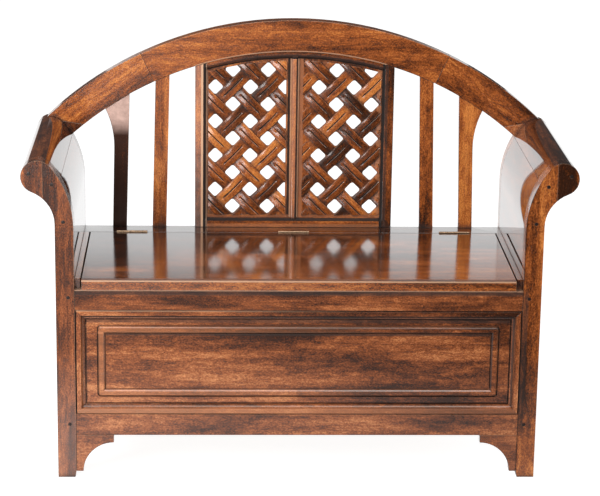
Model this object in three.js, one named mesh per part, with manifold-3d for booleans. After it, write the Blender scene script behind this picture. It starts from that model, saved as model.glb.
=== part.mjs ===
// Settle bench: an open chest seat with a hinged lid, scrolled arms, an arched crest,
// four slats and a pair of woven lattice panels in a centre frame.
// Millimetres, +Z up, +X to the sitter's left as seen from the front, front of the bench towards -Y.
// The drawing is made with the front faces of the legs at Y = 0 and is centred in Y at the end.

import * as THREE from 'three';
import { mergeVertices } from 'three/addons/utils/BufferGeometryUtils.js';
import Module from 'manifold-3d';

const wasm = await Module();
wasm.setup();

// Overall
const TOTAL_DEPTH = 484;
const FIT = 0.3; // gap left round tenons, pegs and coped ends
const OVERRUN = 5; // how far a cutter runs past what it cuts

// Legs, drawn as one S profile that ends in a scroll
const LEG_OUTER_X = 540;
const LEG_WIDTH = 41;
const FRONT_LEG_DEPTH = 40;
const REAR_LEG_DEPTH = 34;
const INNER_SWEEP_RISE = 117; // height above the seat where the inner edge starts to sweep out
const INNER_SWEEP_RADIUS = 222;
const OUTER_SWEEP_RISE = 127;
const OUTER_SWEEP_RADIUS = 78;
const SCROLL_RADIUS = 36.4;
const SCROLL_JOINT_OUT = 25; // the glue line lies this far outside the leg
const FOOT_CHAMFER_WIDTH = 2.4;
const FOOT_CHAMFER_HEIGHT = 14;

// Arms
const ARM_PANEL_THICKNESS = 26;
const ARM_JOINT_SHARE = 0.7474; // of the inner sweep, up to the joint between arm board and roll

// Seat and chest front
const SEAT_HEIGHT = 465;
const LID_THICKNESS = 24;
const TOP_RAIL_HEIGHT = 46;
const BOTTOM_RAIL_HEIGHT = 49.5;
const BOTTOM_RAIL_CLEARANCE = 100.5; // height of the rail's lower edge above the floor
const RAIL_THICKNESS = 22;
const RAIL_SETBACK = 1;
const TENON_LENGTH = 26;
const TENON_THICKNESS = 10;
const TENON_SHOULDER = 7;

// Corner brackets under the bottom rail
const BRACKET_WIDTH = 85;
const BRACKET_LIP = 18;
const BRACKET_FOOT = 16;
const BRACKET_GROUND_CLEARANCE = 13.8;

// Front panel, its planted mouldings and its raised band
const PANEL_SETBACK = 12;
const PANEL_THICKNESS = 12;
const MOULDING_SETBACK = 0.5;
const MOULDING_WIDTH = 21.5;
const MOULDING_COVE_WIDTH = 8.5;
const MOULDING_REBATE_WIDTH = 2.5;
const MOULDING_REBATE_DEPTH = 4;
const MOULDING_GROOVE_WIDTH = 3.5;
const MOULDING_GROOVE_DEPTH = 4;
const BAND_INSET_X = 50.5;
const BAND_INSET_Z = 40.5;
const BAND_WIDTH = 15;
const BAND_HEIGHT = 4;
const BAND_CHAMFER = 3;
const BAND_CORNER_RADIUS = 6;
const QUIRK_WIDTH = 2.2;
const QUIRK_DEPTH = 3;

// Sides, back and floor of the chest
const SIDE_PANEL_THICKNESS = 10;
const SIDE_PANEL_SETBACK = 6;
const BACK_PANEL_THICKNESS = 8;
const BACK_PANEL_SETBACK = 7;
const BACK_RAIL_SETBACK = 5;
const FLOOR_THICKNESS = 9;
const FLOOR_CLEAT_WIDTH = 18;
const FLOOR_CLEAT_HEIGHT = 14;
const SEAT_CLEAT_WIDTH = 24;
const SEAT_CLEAT_HEIGHT = 20;

// Lid, side strips and fixed ledge
const LID_SIDE_GAP = 3.5;
const LID_BACK_GAP = 1.6;
const STRIP_WIDTH = 12.5;
const STRIP_SETBACK = 18;
const LEDGE_DEPTH = 63.2;
const LEDGE_BACK_SETBACK = 16;
const LEDGE_ROUNDING = 6;

// Butt hinges
const HINGE_END_INSET = 61.5; // from the lid's end to the outer hinge
const HINGE_LENGTH = 73;
const HINGE_AXIS_RISE = 1;
const KNUCKLE_RADIUS = 3;
const KNUCKLE_COUNT = 5;
const KNUCKLE_GAP = 0.4;
const PIN_RADIUS = 1.3;
const PIN_CLEARANCE = 0.25;
const LEAF_THICKNESS = 1.2;
const LEAF_HEIGHT = 18;
const LEAF_OFFSET = 0.2;
const SCREW_COUNT = 3;
const SCREW_SPACING = 26;
const SCREW_LENGTH = 14;
const SCREW_RADIUS = 1.4;

// Crest
const CREST_THICKNESS = 34;
const CREST_RISE = 504; // top of the crest above the seat
const CREST_MIDDLE_HEIGHT = 75;
const CREST_OVER_SCROLL = 31.48; // how far its upper arc passes outside the scroll's centre
const CREST_UNDER_SCROLL = 38.35; // how far its lower arc passes inside the scroll's centre
const CREST_JOINT_ANGLE = 65;
const SHOULDER_RISE = 30; // the rear leg's shoulder under the crest, above the scroll's centre
const SHOULDER_SLOPE_ANGLE = 9;

// Slats
const SLAT_WIDTH = 33;
const SLAT_THICKNESS = 14;
const SLAT_RECESS = 2;
const INNER_SLAT_SHARE = 0.323; // of the space from the frame to the leg
const OUTER_SLAT_SHARE = 0.684;
const SLAT_LEAN = 0.022;
const SLAT_FLARE_DROP = 115.5; // from the crest's underside down to where the flare starts
const SLAT_FLARE_RADIUS = 208;
const UPRIGHT_TENON_LENGTH = 12;
const UPRIGHT_TENON_THICKNESS = 6;
const UPRIGHT_TENON_SHOULDER = 4;

// Centre frame
const FRAME_OUTER_X = 236;
const FRAME_STILE_WIDTH = 28;
const FRAME_MUNTIN_WIDTH = 20.8;
const FRAME_RAIL_HEIGHT = 24;
const FRAME_ARCH_HEIGHT = 16.5;
const FRAME_THICKNESS = 16;
const FRAME_RECESS = 1;
const FRAME_CHAMFER_WIDTH = 6;
const FRAME_CHAMFER_DEPTH = 5;

// Woven lattice
const WEAVE_PITCH = 58.9;
const WEAVE_STRAP_WIDTH = 31;
const WEAVE_STRAP_THICKNESS = 7;
const WEAVE_RISE = 6.5; // less than the thickness, as the straps are pressed and glued together
const WEAVE_RECESS = 3.5;
const LATTICE_THICKNESS = 12;
const WEAVE_HOLE_RISE = 175.5; // height above the seat of one hole centre of the first column
const WEAVE_LEFT_HOLE_X = -188;
const WEAVE_RIGHT_HOLE_X = 58;
const WEAVE_LET_IN = 2; // how far the straps' ends run into the rim
const LATTICE_RIM_SETBACK = 5;
const LATTICE_RIM_AT_MUNTIN = 10;
const LATTICE_RIM_BEHIND = 16; // how far the right panel's rim runs on behind the straps at the muntin
const LATTICE_RIM_AT_STILE = 4;
const LATTICE_RIM_AT_RAIL = 6;
const LATTICE_RIM_AT_ARCH = 6;

// Wooden pegs, glued in the legs, with a fine groove round the end that shows
const PEG_RADIUS = 3.8;
const PEG_INSET = 0.4;
const PEG_GROOVE_DEPTH = 1.5;
const RAIL_PEG_LENGTH = 30;
const ARM_PEG_LENGTH = 60;
const RAIL_PEG_INSET = 13.7;
const TOP_RAIL_PEG_DROP = 17;
const BOTTOM_RAIL_PEG_RISE = 26;
const SWEEP_PEG_INSET = 22.5;
const SWEEP_PEG_RISE = 15;
const SCROLL_PEG_OUT = 18.5;
const SCROLL_PEG_UP = 7;
const NECK_PEG_IN = 31.5;
const NECK_PEG_DOWN = 17;

// Facets of round shapes
const SWEEP_STEPS = 9;
const SCROLL_STEPS = 20;
const CREST_STEPS = 12;
const SMALL_ARC_STEPS = 6;
const ROD_SIDES = 12;
const SCREW_SIDES = 8;
const WEAVE_STEPS = 3; // along half a wave of a strap

// Heights, depths and widths that follow from the sizes above
const LEG_INNER_X = LEG_OUTER_X - LEG_WIDTH;
const LID_BOTTOM_Z = SEAT_HEIGHT - LID_THICKNESS;
const OPENING_TOP_Z = LID_BOTTOM_Z - TOP_RAIL_HEIGHT;
const RAIL_BOTTOM_Z = BOTTOM_RAIL_CLEARANCE;
const OPENING_BOTTOM_Z = RAIL_BOTTOM_Z + BOTTOM_RAIL_HEIGHT;
const RAIL_BACK_Y = RAIL_SETBACK + RAIL_THICKNESS;
const REAR_LEG_FRONT_Y = TOTAL_DEPTH - REAR_LEG_DEPTH;
const BACK_RAIL_BACK_Y = TOTAL_DEPTH - BACK_RAIL_SETBACK;
const BACK_RAIL_FRONT_Y = BACK_RAIL_BACK_Y - RAIL_THICKNESS;
const LEDGE_BACK_Y = TOTAL_DEPTH - LEDGE_BACK_SETBACK;
const LEDGE_FRONT_Y = LEDGE_BACK_Y - LEDGE_DEPTH;
const LID_DEPTH = LEDGE_FRONT_Y - LID_BACK_GAP;
const STRIP_INNER_X = LEG_INNER_X - STRIP_WIDTH;
const LID_HALF_WIDTH = STRIP_INNER_X - LID_SIDE_GAP;
const HINGE_Y = LID_DEPTH + LID_BACK_GAP / 2;
const HINGE_Z = SEAT_HEIGHT + HINGE_AXIS_RISE;
const CREST_FRONT_Y = TOTAL_DEPTH - CREST_THICKNESS;
const FRAME_FRONT_Y = CREST_FRONT_Y + FRAME_RECESS;
const FRAME_BACK_Y = FRAME_FRONT_Y + FRAME_THICKNESS;
const SLAT_FRONT_Y = CREST_FRONT_Y + SLAT_RECESS;
const SLAT_BACK_Y = SLAT_FRONT_Y + SLAT_THICKNESS;
const FRAME_INNER_X = FRAME_OUTER_X - FRAME_STILE_WIDTH;
const MUNTIN_HALF = FRAME_MUNTIN_WIDTH / 2;
const FRAME_RAIL_TOP_Z = SEAT_HEIGHT + FRAME_RAIL_HEIGHT;
const SLAT_BAY = LEG_INNER_X - FRAME_OUTER_X;
const INNER_SLAT_X = FRAME_OUTER_X + SLAT_BAY * INNER_SLAT_SHARE;
const OUTER_SLAT_X = FRAME_OUTER_X + SLAT_BAY * OUTER_SLAT_SHARE;
const QUARTER_TURN = Math.PI / 2;

// Finishes
const FINISHES = {
  leg_wood: { color: 0x8a4a2c, roughness: 0.28, metalness: 0 },
  rail_wood: { color: 0x945234, roughness: 0.28, metalness: 0 },
  lid_wood: { color: 0x7a3e22, roughness: 0.2, metalness: 0 },
  crest_wood: { color: 0x8c4a26, roughness: 0.25, metalness: 0 },
  lattice_wood: { color: 0xa05a2c, roughness: 0.25, metalness: 0 },
  panel_wood: { color: 0x86482a, roughness: 0.25, metalness: 0 },
  inner_wood: { color: 0xa9835a, roughness: 0.7, metalness: 0 },
  hinge_brass: { color: 0x7a5c34, roughness: 0.35, metalness: 1 },
};

// Geometry to solid and back

function toSolid(geometry) {
  geometry.deleteAttribute('normal');
  geometry.deleteAttribute('uv');
  const merged = mergeVertices(geometry);
  return new wasm.Manifold(new wasm.Mesh({
    numProp: 3,
    vertProperties: new Float32Array(merged.attributes.position.array),
    triVerts: new Uint32Array(merged.index.array),
  }));
}

function toGeometry(solid) {
  const { numProp, vertProperties, triVerts } = solid.getMesh();
  const positions = [];
  for (let start = 0; start < vertProperties.length; start += numProp) {
    positions.push(...vertProperties.subarray(start, start + 3));
  }
  const geometry = new THREE.BufferGeometry();
  geometry.setAttribute('position', new THREE.Float32BufferAttribute(positions, 3));
  geometry.setIndex(Array.from(triVerts));
  geometry.computeVertexNormals();
  return geometry;
}

function joined(solids) {
  return solids.reduce((sum, solid) => sum.add(solid));
}

function cutBy(solid, cutters) {
  return cutters.reduce((rest, cutter) => rest.subtract(cutter), solid);
}

// The same solid on the other side of the plane X = 0
function mirrored(solid) {
  const geometry = toGeometry(solid);
  geometry.scale(-1, 1, 1);
  const index = Array.from(geometry.index.array);
  for (let start = 0; start < index.length; start += 3) {
    [index[start], index[start + 1]] = [index[start + 1], index[start]];
  }
  geometry.setIndex(index);
  return toSolid(geometry);
}

// Basic solids

function block(x0, x1, y0, y1, z0, z1) {
  const geometry = new THREE.BoxGeometry(x1 - x0, y1 - y0, z1 - z0);
  geometry.translate((x0 + x1) / 2, (y0 + y1) / 2, (z0 + z1) / 2);
  return toSolid(geometry);
}

// An outline of [x, z] points, seen from the front, made solid from one depth to another
function prism(outline, front, back) {
  const shape = new THREE.Shape(outline.map(([x, z]) => new THREE.Vector2(x, z)));
  const geometry = new THREE.ExtrudeGeometry(shape, { depth: back - front, bevelEnabled: false });
  geometry.rotateX(QUARTER_TURN);
  geometry.translate(0, back, 0);
  return toSolid(geometry);
}

// A flat ring between two outlines
function ring(outline, hole, front, back) {
  return prism(outline, front, back).subtract(prism(hole, front - OVERRUN, back + OVERRUN));
}

// An outline widened all round by spread from one depth to another, that narrows again beyond both
function swelled(outline, front, back, depth, spread, steps) {
  const shape = new THREE.Shape(outline.map(([x, z]) => new THREE.Vector2(x, z)));
  const geometry = new THREE.ExtrudeGeometry(shape, {
    depth: back - front,
    bevelEnabled: true,
    bevelThickness: depth,
    bevelSize: spread,
    bevelSegments: steps,
  });
  geometry.rotateX(QUARTER_TURN);
  geometry.translate(0, back, 0);
  return toSolid(geometry);
}

// A cutter that is wide in front of a face and narrows to the outline at the given depth behind it
function funnel(outline, face, depth, spread, steps) {
  return swelled(outline, face - OVERRUN, face, depth, spread, steps);
}

function rodAlongX(x0, x1, y, z, radius) {
  const geometry = new THREE.CylinderGeometry(radius, radius, x1 - x0, ROD_SIDES);
  geometry.rotateZ(QUARTER_TURN);
  geometry.translate((x0 + x1) / 2, y, z);
  return toSolid(geometry);
}

function rodAlongY(x, y0, y1, z, radius, sides = ROD_SIDES) {
  const geometry = new THREE.CylinderGeometry(radius, radius, y1 - y0, sides);
  geometry.translate(x, (y0 + y1) / 2, z);
  return toSolid(geometry);
}

// Outline helpers

function arc(centre, radius, startAngle, endAngle, steps) {
  const points = [];
  for (let step = 0; step <= steps; step += 1) {
    const angle = startAngle + ((endAngle - startAngle) * step) / steps;
    points.push([centre[0] + radius * Math.cos(angle), centre[1] + radius * Math.sin(angle)]);
  }
  return points;
}

function rectangle(x0, x1, z0, z1) {
  return [[x0, z0], [x1, z0], [x1, z1], [x0, z1]];
}

function roundedRectangle(x0, x1, z0, z1, radius) {
  const corner = (x, z, start) => arc([x, z], radius, start, start + QUARTER_TURN, SMALL_ARC_STEPS);
  return [
    ...corner(x0 + radius, z0 + radius, Math.PI),
    ...corner(x1 - radius, z0 + radius, -QUARTER_TURN),
    ...corner(x1 - radius, z1 - radius, 0),
    ...corner(x0 + radius, z1 - radius, QUARTER_TURN),
  ];
}

function angleOf(from, to) {
  return Math.atan2(to[1] - from[1], to[0] - from[0]);
}

// The scroll's centre: its circle touches the inner sweep from within and the outer sweep from without
const INNER_SWEEP_CENTRE = [LEG_INNER_X + INNER_SWEEP_RADIUS, SEAT_HEIGHT + INNER_SWEEP_RISE];
const OUTER_SWEEP_CENTRE = [LEG_OUTER_X + OUTER_SWEEP_RADIUS, SEAT_HEIGHT + OUTER_SWEEP_RISE];

function scrollCentre() {
  const fromInner = INNER_SWEEP_RADIUS - SCROLL_RADIUS;
  const fromOuter = OUTER_SWEEP_RADIUS + SCROLL_RADIUS;
  const spanX = OUTER_SWEEP_CENTRE[0] - INNER_SWEEP_CENTRE[0];
  const spanZ = OUTER_SWEEP_CENTRE[1] - INNER_SWEEP_CENTRE[1];
  const span = Math.hypot(spanX, spanZ);
  const along = (fromInner ** 2 - fromOuter ** 2 + span ** 2) / (2 * span);
  const across = Math.sqrt(fromInner ** 2 - along ** 2);
  const middleX = INNER_SWEEP_CENTRE[0] + (along * spanX) / span;
  const middleZ = INNER_SWEEP_CENTRE[1] + (along * spanZ) / span;
  const side = spanX < 0 ? -1 : 1;
  return [middleX - (side * across * spanZ) / span, middleZ + (side * across * spanX) / span];
}

const SCROLL_CENTRE = scrollCentre();
const INNER_TOUCH_ANGLE = angleOf(INNER_SWEEP_CENTRE, SCROLL_CENTRE);
const OUTER_TOUCH_ANGLE = angleOf(OUTER_SWEEP_CENTRE, SCROLL_CENTRE);

// The right leg's front view; clear makes the same shape larger all round, as a cutter for what meets it
function legOutline(clear = 0) {
  return [
    [LEG_INNER_X + FOOT_CHAMFER_WIDTH - clear, 0],
    [LEG_INNER_X - clear, FOOT_CHAMFER_HEIGHT],
    ...arc(INNER_SWEEP_CENTRE, INNER_SWEEP_RADIUS + clear, Math.PI, INNER_TOUCH_ANGLE, SWEEP_STEPS),
    ...arc(SCROLL_CENTRE, SCROLL_RADIUS + clear, INNER_TOUCH_ANGLE, OUTER_TOUCH_ANGLE - Math.PI, SCROLL_STEPS)
      .slice(1),
    ...arc(OUTER_SWEEP_CENTRE, OUTER_SWEEP_RADIUS - clear, OUTER_TOUCH_ANGLE, Math.PI, SWEEP_STEPS).slice(1),
    [LEG_OUTER_X + clear, 0],
  ];
}

// The curved arm board and the roll above it meet at this angle of the inner sweep
const ARM_JOINT_ANGLE = Math.PI - ARM_JOINT_SHARE * (Math.PI - INNER_TOUCH_ANGLE);

function armPanelOutline() {
  const outerRadius = INNER_SWEEP_RADIUS - ARM_PANEL_THICKNESS;
  return [
    [LEG_INNER_X, LID_BOTTOM_Z],
    ...arc(INNER_SWEEP_CENTRE, INNER_SWEEP_RADIUS, Math.PI, ARM_JOINT_ANGLE, SWEEP_STEPS),
    ...arc(INNER_SWEEP_CENTRE, outerRadius, ARM_JOINT_ANGLE, Math.PI, SWEEP_STEPS),
    [LEG_INNER_X + ARM_PANEL_THICKNESS, LID_BOTTOM_Z],
  ];
}

function armRollOutline() {
  const outerRadius = INNER_SWEEP_RADIUS - ARM_PANEL_THICKNESS;
  const startAngle = ARM_JOINT_ANGLE - FIT / outerRadius;
  const [panelCorner] = arc(INNER_SWEEP_CENTRE, outerRadius, startAngle, startAngle, 1);
  return [
    ...arc(INNER_SWEEP_CENTRE, INNER_SWEEP_RADIUS, startAngle, INNER_TOUCH_ANGLE, SMALL_ARC_STEPS),
    ...arc(SCROLL_CENTRE, SCROLL_RADIUS, INNER_TOUCH_ANGLE, OUTER_TOUCH_ANGLE - Math.PI, SCROLL_STEPS).slice(1),
    panelCorner,
  ];
}

// Pegs of the right side: [x, z, length], all driven in from the front face
const PEGS = [
  [LEG_INNER_X + RAIL_PEG_INSET, RAIL_BOTTOM_Z + BOTTOM_RAIL_PEG_RISE, RAIL_PEG_LENGTH],
  [LEG_INNER_X + RAIL_PEG_INSET, LID_BOTTOM_Z - TOP_RAIL_PEG_DROP, RAIL_PEG_LENGTH],
  [LEG_INNER_X + SWEEP_PEG_INSET, INNER_SWEEP_CENTRE[1] + SWEEP_PEG_RISE, ARM_PEG_LENGTH],
  [SCROLL_CENTRE[0] + SCROLL_PEG_OUT, SCROLL_CENTRE[1] + SCROLL_PEG_UP, ARM_PEG_LENGTH],
  [SCROLL_CENTRE[0] - NECK_PEG_IN, SCROLL_CENTRE[1] - NECK_PEG_DOWN, ARM_PEG_LENGTH],
];

function pegs() {
  return PEGS.map(([x, z, length]) => rodAlongY(x, PEG_INSET, length, z, PEG_RADIUS));
}

function pegHoles() {
  return PEGS.map(([x, z, length]) => rodAlongY(x, -OVERRUN, length + FIT, z, PEG_RADIUS + FIT));
}

function pegGrooves() {
  return PEGS.map(([x, z]) => rodAlongY(x, -OVERRUN, PEG_GROOVE_DEPTH, z, PEG_RADIUS + FIT));
}

// Tenons of the front rails, in the rail's own thickness
const TENON_FRONT_Y = RAIL_SETBACK + (RAIL_THICKNESS - TENON_THICKNESS) / 2;
const TENON_BACK_Y = TENON_FRONT_Y + TENON_THICKNESS;

function railTenon(z0, z1) {
  return block(LEG_INNER_X - OVERRUN, LEG_INNER_X + TENON_LENGTH, TENON_FRONT_Y, TENON_BACK_Y,
    z0 + TENON_SHOULDER, z1 - TENON_SHOULDER);
}

function railMortise(z0, z1) {
  return block(LEG_INNER_X - OVERRUN, LEG_INNER_X + TENON_LENGTH + FIT, TENON_FRONT_Y - FIT, TENON_BACK_Y + FIT,
    z0 + TENON_SHOULDER - FIT, z1 - TENON_SHOULDER + FIT);
}

function frontRail(z0, z1) {
  const board = block(-LEG_INNER_X, LEG_INNER_X, RAIL_SETBACK, RAIL_BACK_Y, z0, z1);
  const tenon = railTenon(z0, z1);
  const rail = joined([board, tenon, mirrored(tenon)]);
  const holes = pegHoles();
  return cutBy(rail, [...holes, ...holes.map(mirrored)]);
}

// Legs, scroll blocks and arms, all of the right side

function frontLegWhole() {
  const leg = prism(legOutline(), 0, FRONT_LEG_DEPTH);
  const mortises = [railMortise(OPENING_TOP_Z, LID_BOTTOM_Z), railMortise(RAIL_BOTTOM_Z, OPENING_BOTTOM_Z)];
  return joined([cutBy(leg, [...mortises, ...pegGrooves()]), ...pegs()]);
}

// The space beyond the glue line between the leg and its scroll block
function scrollSide() {
  const reach = SCROLL_CENTRE[0] + SCROLL_RADIUS + OVERRUN;
  return block(LEG_OUTER_X + SCROLL_JOINT_OUT, reach, -OVERRUN, ARM_PEG_LENGTH + OVERRUN, 0,
    SCROLL_CENTRE[1] + SCROLL_RADIUS + OVERRUN);
}

function frontLeg() {
  return frontLegWhole().subtract(scrollSide());
}

function scrollBlock() {
  return frontLegWhole().intersect(scrollSide());
}

function armPanel() {
  return cutBy(prism(armPanelOutline(), FRONT_LEG_DEPTH, REAR_LEG_FRONT_Y), pegHoles());
}

function armRoll() {
  return cutBy(prism(armRollOutline(), FRONT_LEG_DEPTH, REAR_LEG_FRONT_Y), pegHoles());
}

// Chest front

function cornerBracket() {
  const innerX = LEG_INNER_X - BRACKET_WIDTH;
  const hollow = [innerX, BRACKET_GROUND_CLEARANCE];
  const width = BRACKET_WIDTH - BRACKET_FOOT;
  const height = RAIL_BOTTOM_Z - BRACKET_LIP - BRACKET_GROUND_CLEARANCE;
  const sweep = arc([0, 0], 1, 0, QUARTER_TURN, CREST_STEPS)
    .map(([x, z]) => [hollow[0] + width * x, hollow[1] + height * z]);
  const outline = [
    [LEG_INNER_X, BRACKET_GROUND_CLEARANCE],
    ...sweep,
    [innerX, RAIL_BOTTOM_Z],
    [LEG_INNER_X, RAIL_BOTTOM_Z],
  ];
  return prism(outline, RAIL_SETBACK, RAIL_BACK_Y);
}

// The outer edge of the raised band, grown all round
function bandOuter(grow) {
  const x = LEG_INNER_X - BAND_INSET_X + grow;
  return roundedRectangle(-x, x, OPENING_BOTTOM_Z + BAND_INSET_Z - grow, OPENING_TOP_Z - BAND_INSET_Z + grow,
    BAND_CORNER_RADIUS + grow);
}

// The inner edge of the raised band, shrunk all round
function bandInner(shrink) {
  const x = LEG_INNER_X - BAND_INSET_X - BAND_WIDTH - shrink;
  const inset = BAND_INSET_Z + BAND_WIDTH + shrink;
  return rectangle(-x, x, OPENING_BOTTOM_Z + inset, OPENING_TOP_Z - inset);
}

function raisedBand() {
  const front = PANEL_SETBACK - BAND_HEIGHT;
  const back = PANEL_SETBACK + PANEL_THICKNESS;
  const slab = swelled(bandOuter(-BAND_CHAMFER), front + BAND_CHAMFER, back - 2 * BAND_CHAMFER,
    BAND_CHAMFER, BAND_CHAMFER, 1);
  const slope = funnel(bandInner(0), front, BAND_CHAMFER, BAND_CHAMFER, 1);
  return cutBy(slab, [slope, prism(bandInner(0), front, back)]);
}

function frontPanel() {
  const back = PANEL_SETBACK + PANEL_THICKNESS;
  const board = block(-LEG_INNER_X, LEG_INNER_X, PANEL_SETBACK, back, OPENING_BOTTOM_Z, OPENING_TOP_Z);
  const quirks = ring(bandOuter(QUIRK_WIDTH), bandInner(QUIRK_WIDTH), -OVERRUN, PANEL_SETBACK + QUIRK_DEPTH);
  const grooveX = LEG_INNER_X - MOULDING_WIDTH;
  const grooveLow = OPENING_BOTTOM_Z + MOULDING_WIDTH;
  const grooveHigh = OPENING_TOP_Z - MOULDING_WIDTH;
  const width = MOULDING_GROOVE_WIDTH;
  const groove = ring(rectangle(-grooveX, grooveX, grooveLow, grooveHigh),
    rectangle(-grooveX + width, grooveX - width, grooveLow + width, grooveHigh - width),
    -OVERRUN, PANEL_SETBACK + MOULDING_GROOVE_DEPTH);
  return cutBy(board, [quirks, groove]).add(raisedBand());
}

// The four planted mouldings share one coved opening and one outer rebate, and meet in mitres
function panelMouldings() {
  const x = LEG_INNER_X;
  const inX = x - MOULDING_WIDTH;
  const low = OPENING_BOTTOM_Z;
  const high = OPENING_TOP_Z;
  const inLow = low + MOULDING_WIDTH;
  const inHigh = high - MOULDING_WIDTH;
  const cove = funnel(rectangle(-inX, inX, inLow, inHigh), MOULDING_SETBACK,
    PANEL_SETBACK - MOULDING_SETBACK, MOULDING_COVE_WIDTH, SMALL_ARC_STEPS);
  const lip = MOULDING_REBATE_WIDTH;
  const rebate = ring(rectangle(-x - OVERRUN, x + OVERRUN, low - OVERRUN, high + OVERRUN),
    rectangle(-x + lip, x - lip, low + lip, high - lip), -OVERRUN, MOULDING_SETBACK + MOULDING_REBATE_DEPTH);
  const outlines = {
    panel_moulding_top: [[-x + FIT, high], [x - FIT, high], [inX - FIT, inHigh], [-inX + FIT, inHigh]],
    panel_moulding_bottom: [[-x + FIT, low], [x - FIT, low], [inX - FIT, inLow], [-inX + FIT, inLow]],
    panel_moulding_left: [[-x, low], [-x, high], [-inX, inHigh], [-inX, inLow]],
    panel_moulding_right: [[x, low], [x, high], [inX, inHigh], [inX, inLow]],
  };
  return Object.entries(outlines).map(([name, outline]) => [
    name,
    cutBy(prism(outline, MOULDING_SETBACK, PANEL_SETBACK), [cove, rebate]),
  ]);
}

// Chest sides, back and floor

function sideRail(z0, z1) {
  return block(LEG_INNER_X, LEG_INNER_X + RAIL_THICKNESS, FRONT_LEG_DEPTH, REAR_LEG_FRONT_Y, z0, z1);
}

function sidePanel() {
  const innerX = LEG_INNER_X + SIDE_PANEL_SETBACK;
  return block(innerX, innerX + SIDE_PANEL_THICKNESS, FRONT_LEG_DEPTH, REAR_LEG_FRONT_Y,
    OPENING_BOTTOM_Z, OPENING_TOP_Z);
}

function backRail(z0, z1) {
  return block(-LEG_INNER_X, LEG_INNER_X, BACK_RAIL_FRONT_Y, BACK_RAIL_BACK_Y, z0, z1);
}

function backPanel() {
  const front = BACK_RAIL_FRONT_Y + BACK_PANEL_SETBACK;
  return block(-LEG_INNER_X, LEG_INNER_X, front, front + BACK_PANEL_THICKNESS, OPENING_BOTTOM_Z, OPENING_TOP_Z);
}

const FLOOR_Z = RAIL_BOTTOM_Z + FLOOR_CLEAT_HEIGHT;

function chestFloor() {
  return block(-LEG_INNER_X, LEG_INNER_X, RAIL_BACK_Y, BACK_RAIL_FRONT_Y, FLOOR_Z, FLOOR_Z + FLOOR_THICKNESS);
}

function floorCleat(front) {
  return block(-LEG_INNER_X, LEG_INNER_X, front, front + FLOOR_CLEAT_WIDTH, RAIL_BOTTOM_Z, FLOOR_Z);
}

function seatCleat() {
  return block(LEG_INNER_X - SEAT_CLEAT_WIDTH, LEG_INNER_X, RAIL_BACK_Y, BACK_RAIL_FRONT_Y,
    LID_BOTTOM_Z - SEAT_CLEAT_HEIGHT, LID_BOTTOM_Z);
}

function seatStrip() {
  return block(STRIP_INNER_X, LEG_INNER_X, STRIP_SETBACK, LEDGE_FRONT_Y, LID_BOTTOM_Z, SEAT_HEIGHT);
}

// Hinges: three alike, each with an odd number of knuckles, the outer ones on the fixed leaf

const OUTER_HINGE_X = LID_HALF_WIDTH - HINGE_END_INSET - HINGE_LENGTH / 2;
const HINGE_PLACES = [-OUTER_HINGE_X, 0, OUTER_HINGE_X];
const KNUCKLE_LENGTH = HINGE_LENGTH / KNUCKLE_COUNT;
const LEAF_TOP_Z = HINGE_Z - KNUCKLE_RADIUS - KNUCKLE_GAP;

// side is +1 for the leaf on the ledge and -1 for the leaf on the lid
function hingeLeaf(centreX, side) {
  const near = HINGE_Y + side * LEAF_OFFSET;
  const far = near + side * LEAF_THICKNESS;
  const [y0, y1] = side > 0 ? [near, far] : [far, near];
  const start = centreX - HINGE_LENGTH / 2;
  const plate = block(start, start + HINGE_LENGTH, y0, y1, LEAF_TOP_Z - LEAF_HEIGHT, LEAF_TOP_Z);
  const parts = [plate];
  for (let place = side > 0 ? 0 : 1; place < KNUCKLE_COUNT; place += 2) {
    const x0 = start + place * KNUCKLE_LENGTH + KNUCKLE_GAP / 2;
    const x1 = x0 + KNUCKLE_LENGTH - KNUCKLE_GAP;
    parts.push(block(x0, x1, y0, y1, LEAF_TOP_Z - OVERRUN, HINGE_Z));
    parts.push(rodAlongX(x0, x1, HINGE_Y, HINGE_Z, KNUCKLE_RADIUS));
  }
  const bore = rodAlongX(start - OVERRUN, start + HINGE_LENGTH + OVERRUN, HINGE_Y, HINGE_Z,
    PIN_RADIUS + PIN_CLEARANCE);
  return joined([...parts, ...screws(centreX, side, 0)]).subtract(bore);
}

function hingePin(centreX) {
  return rodAlongX(centreX - HINGE_LENGTH / 2, centreX + HINGE_LENGTH / 2, HINGE_Y, HINGE_Z, PIN_RADIUS);
}

// The room for a leaf and its knuckles in the edge of the lid or of the ledge
function hingeRecess(centreX, side) {
  const near = HINGE_Y;
  const far = HINGE_Y + side * (LEAF_OFFSET + LEAF_THICKNESS + FIT);
  const [y0, y1] = side > 0 ? [near, far] : [far, near];
  const x0 = centreX - HINGE_LENGTH / 2 - FIT;
  const x1 = centreX + HINGE_LENGTH / 2 + FIT;
  const pocket = block(x0, x1, y0, y1, LEAF_TOP_Z - LEAF_HEIGHT - FIT, SEAT_HEIGHT + OVERRUN);
  return pocket.add(rodAlongX(x0, x1, HINGE_Y, HINGE_Z, KNUCKLE_RADIUS + FIT));
}

// Screws run along Y from the leaf into the wood
function screws(centreX, side, clear) {
  const z = LEAF_TOP_Z - LEAF_HEIGHT / 2;
  const near = HINGE_Y + side * LEAF_OFFSET;
  const far = near + side * (SCREW_LENGTH + clear);
  const rods = [];
  for (let place = 0; place < SCREW_COUNT; place += 1) {
    const x = centreX + (place - (SCREW_COUNT - 1) / 2) * SCREW_SPACING;
    rods.push(rodAlongY(x, Math.min(near, far), Math.max(near, far), z, SCREW_RADIUS + clear, SCREW_SIDES));
  }
  return rods;
}

// Lid and fixed ledge

function hingeCuts(side) {
  return HINGE_PLACES.flatMap((place) => [hingeRecess(place, side), ...screws(place, side, FIT)]);
}

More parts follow.
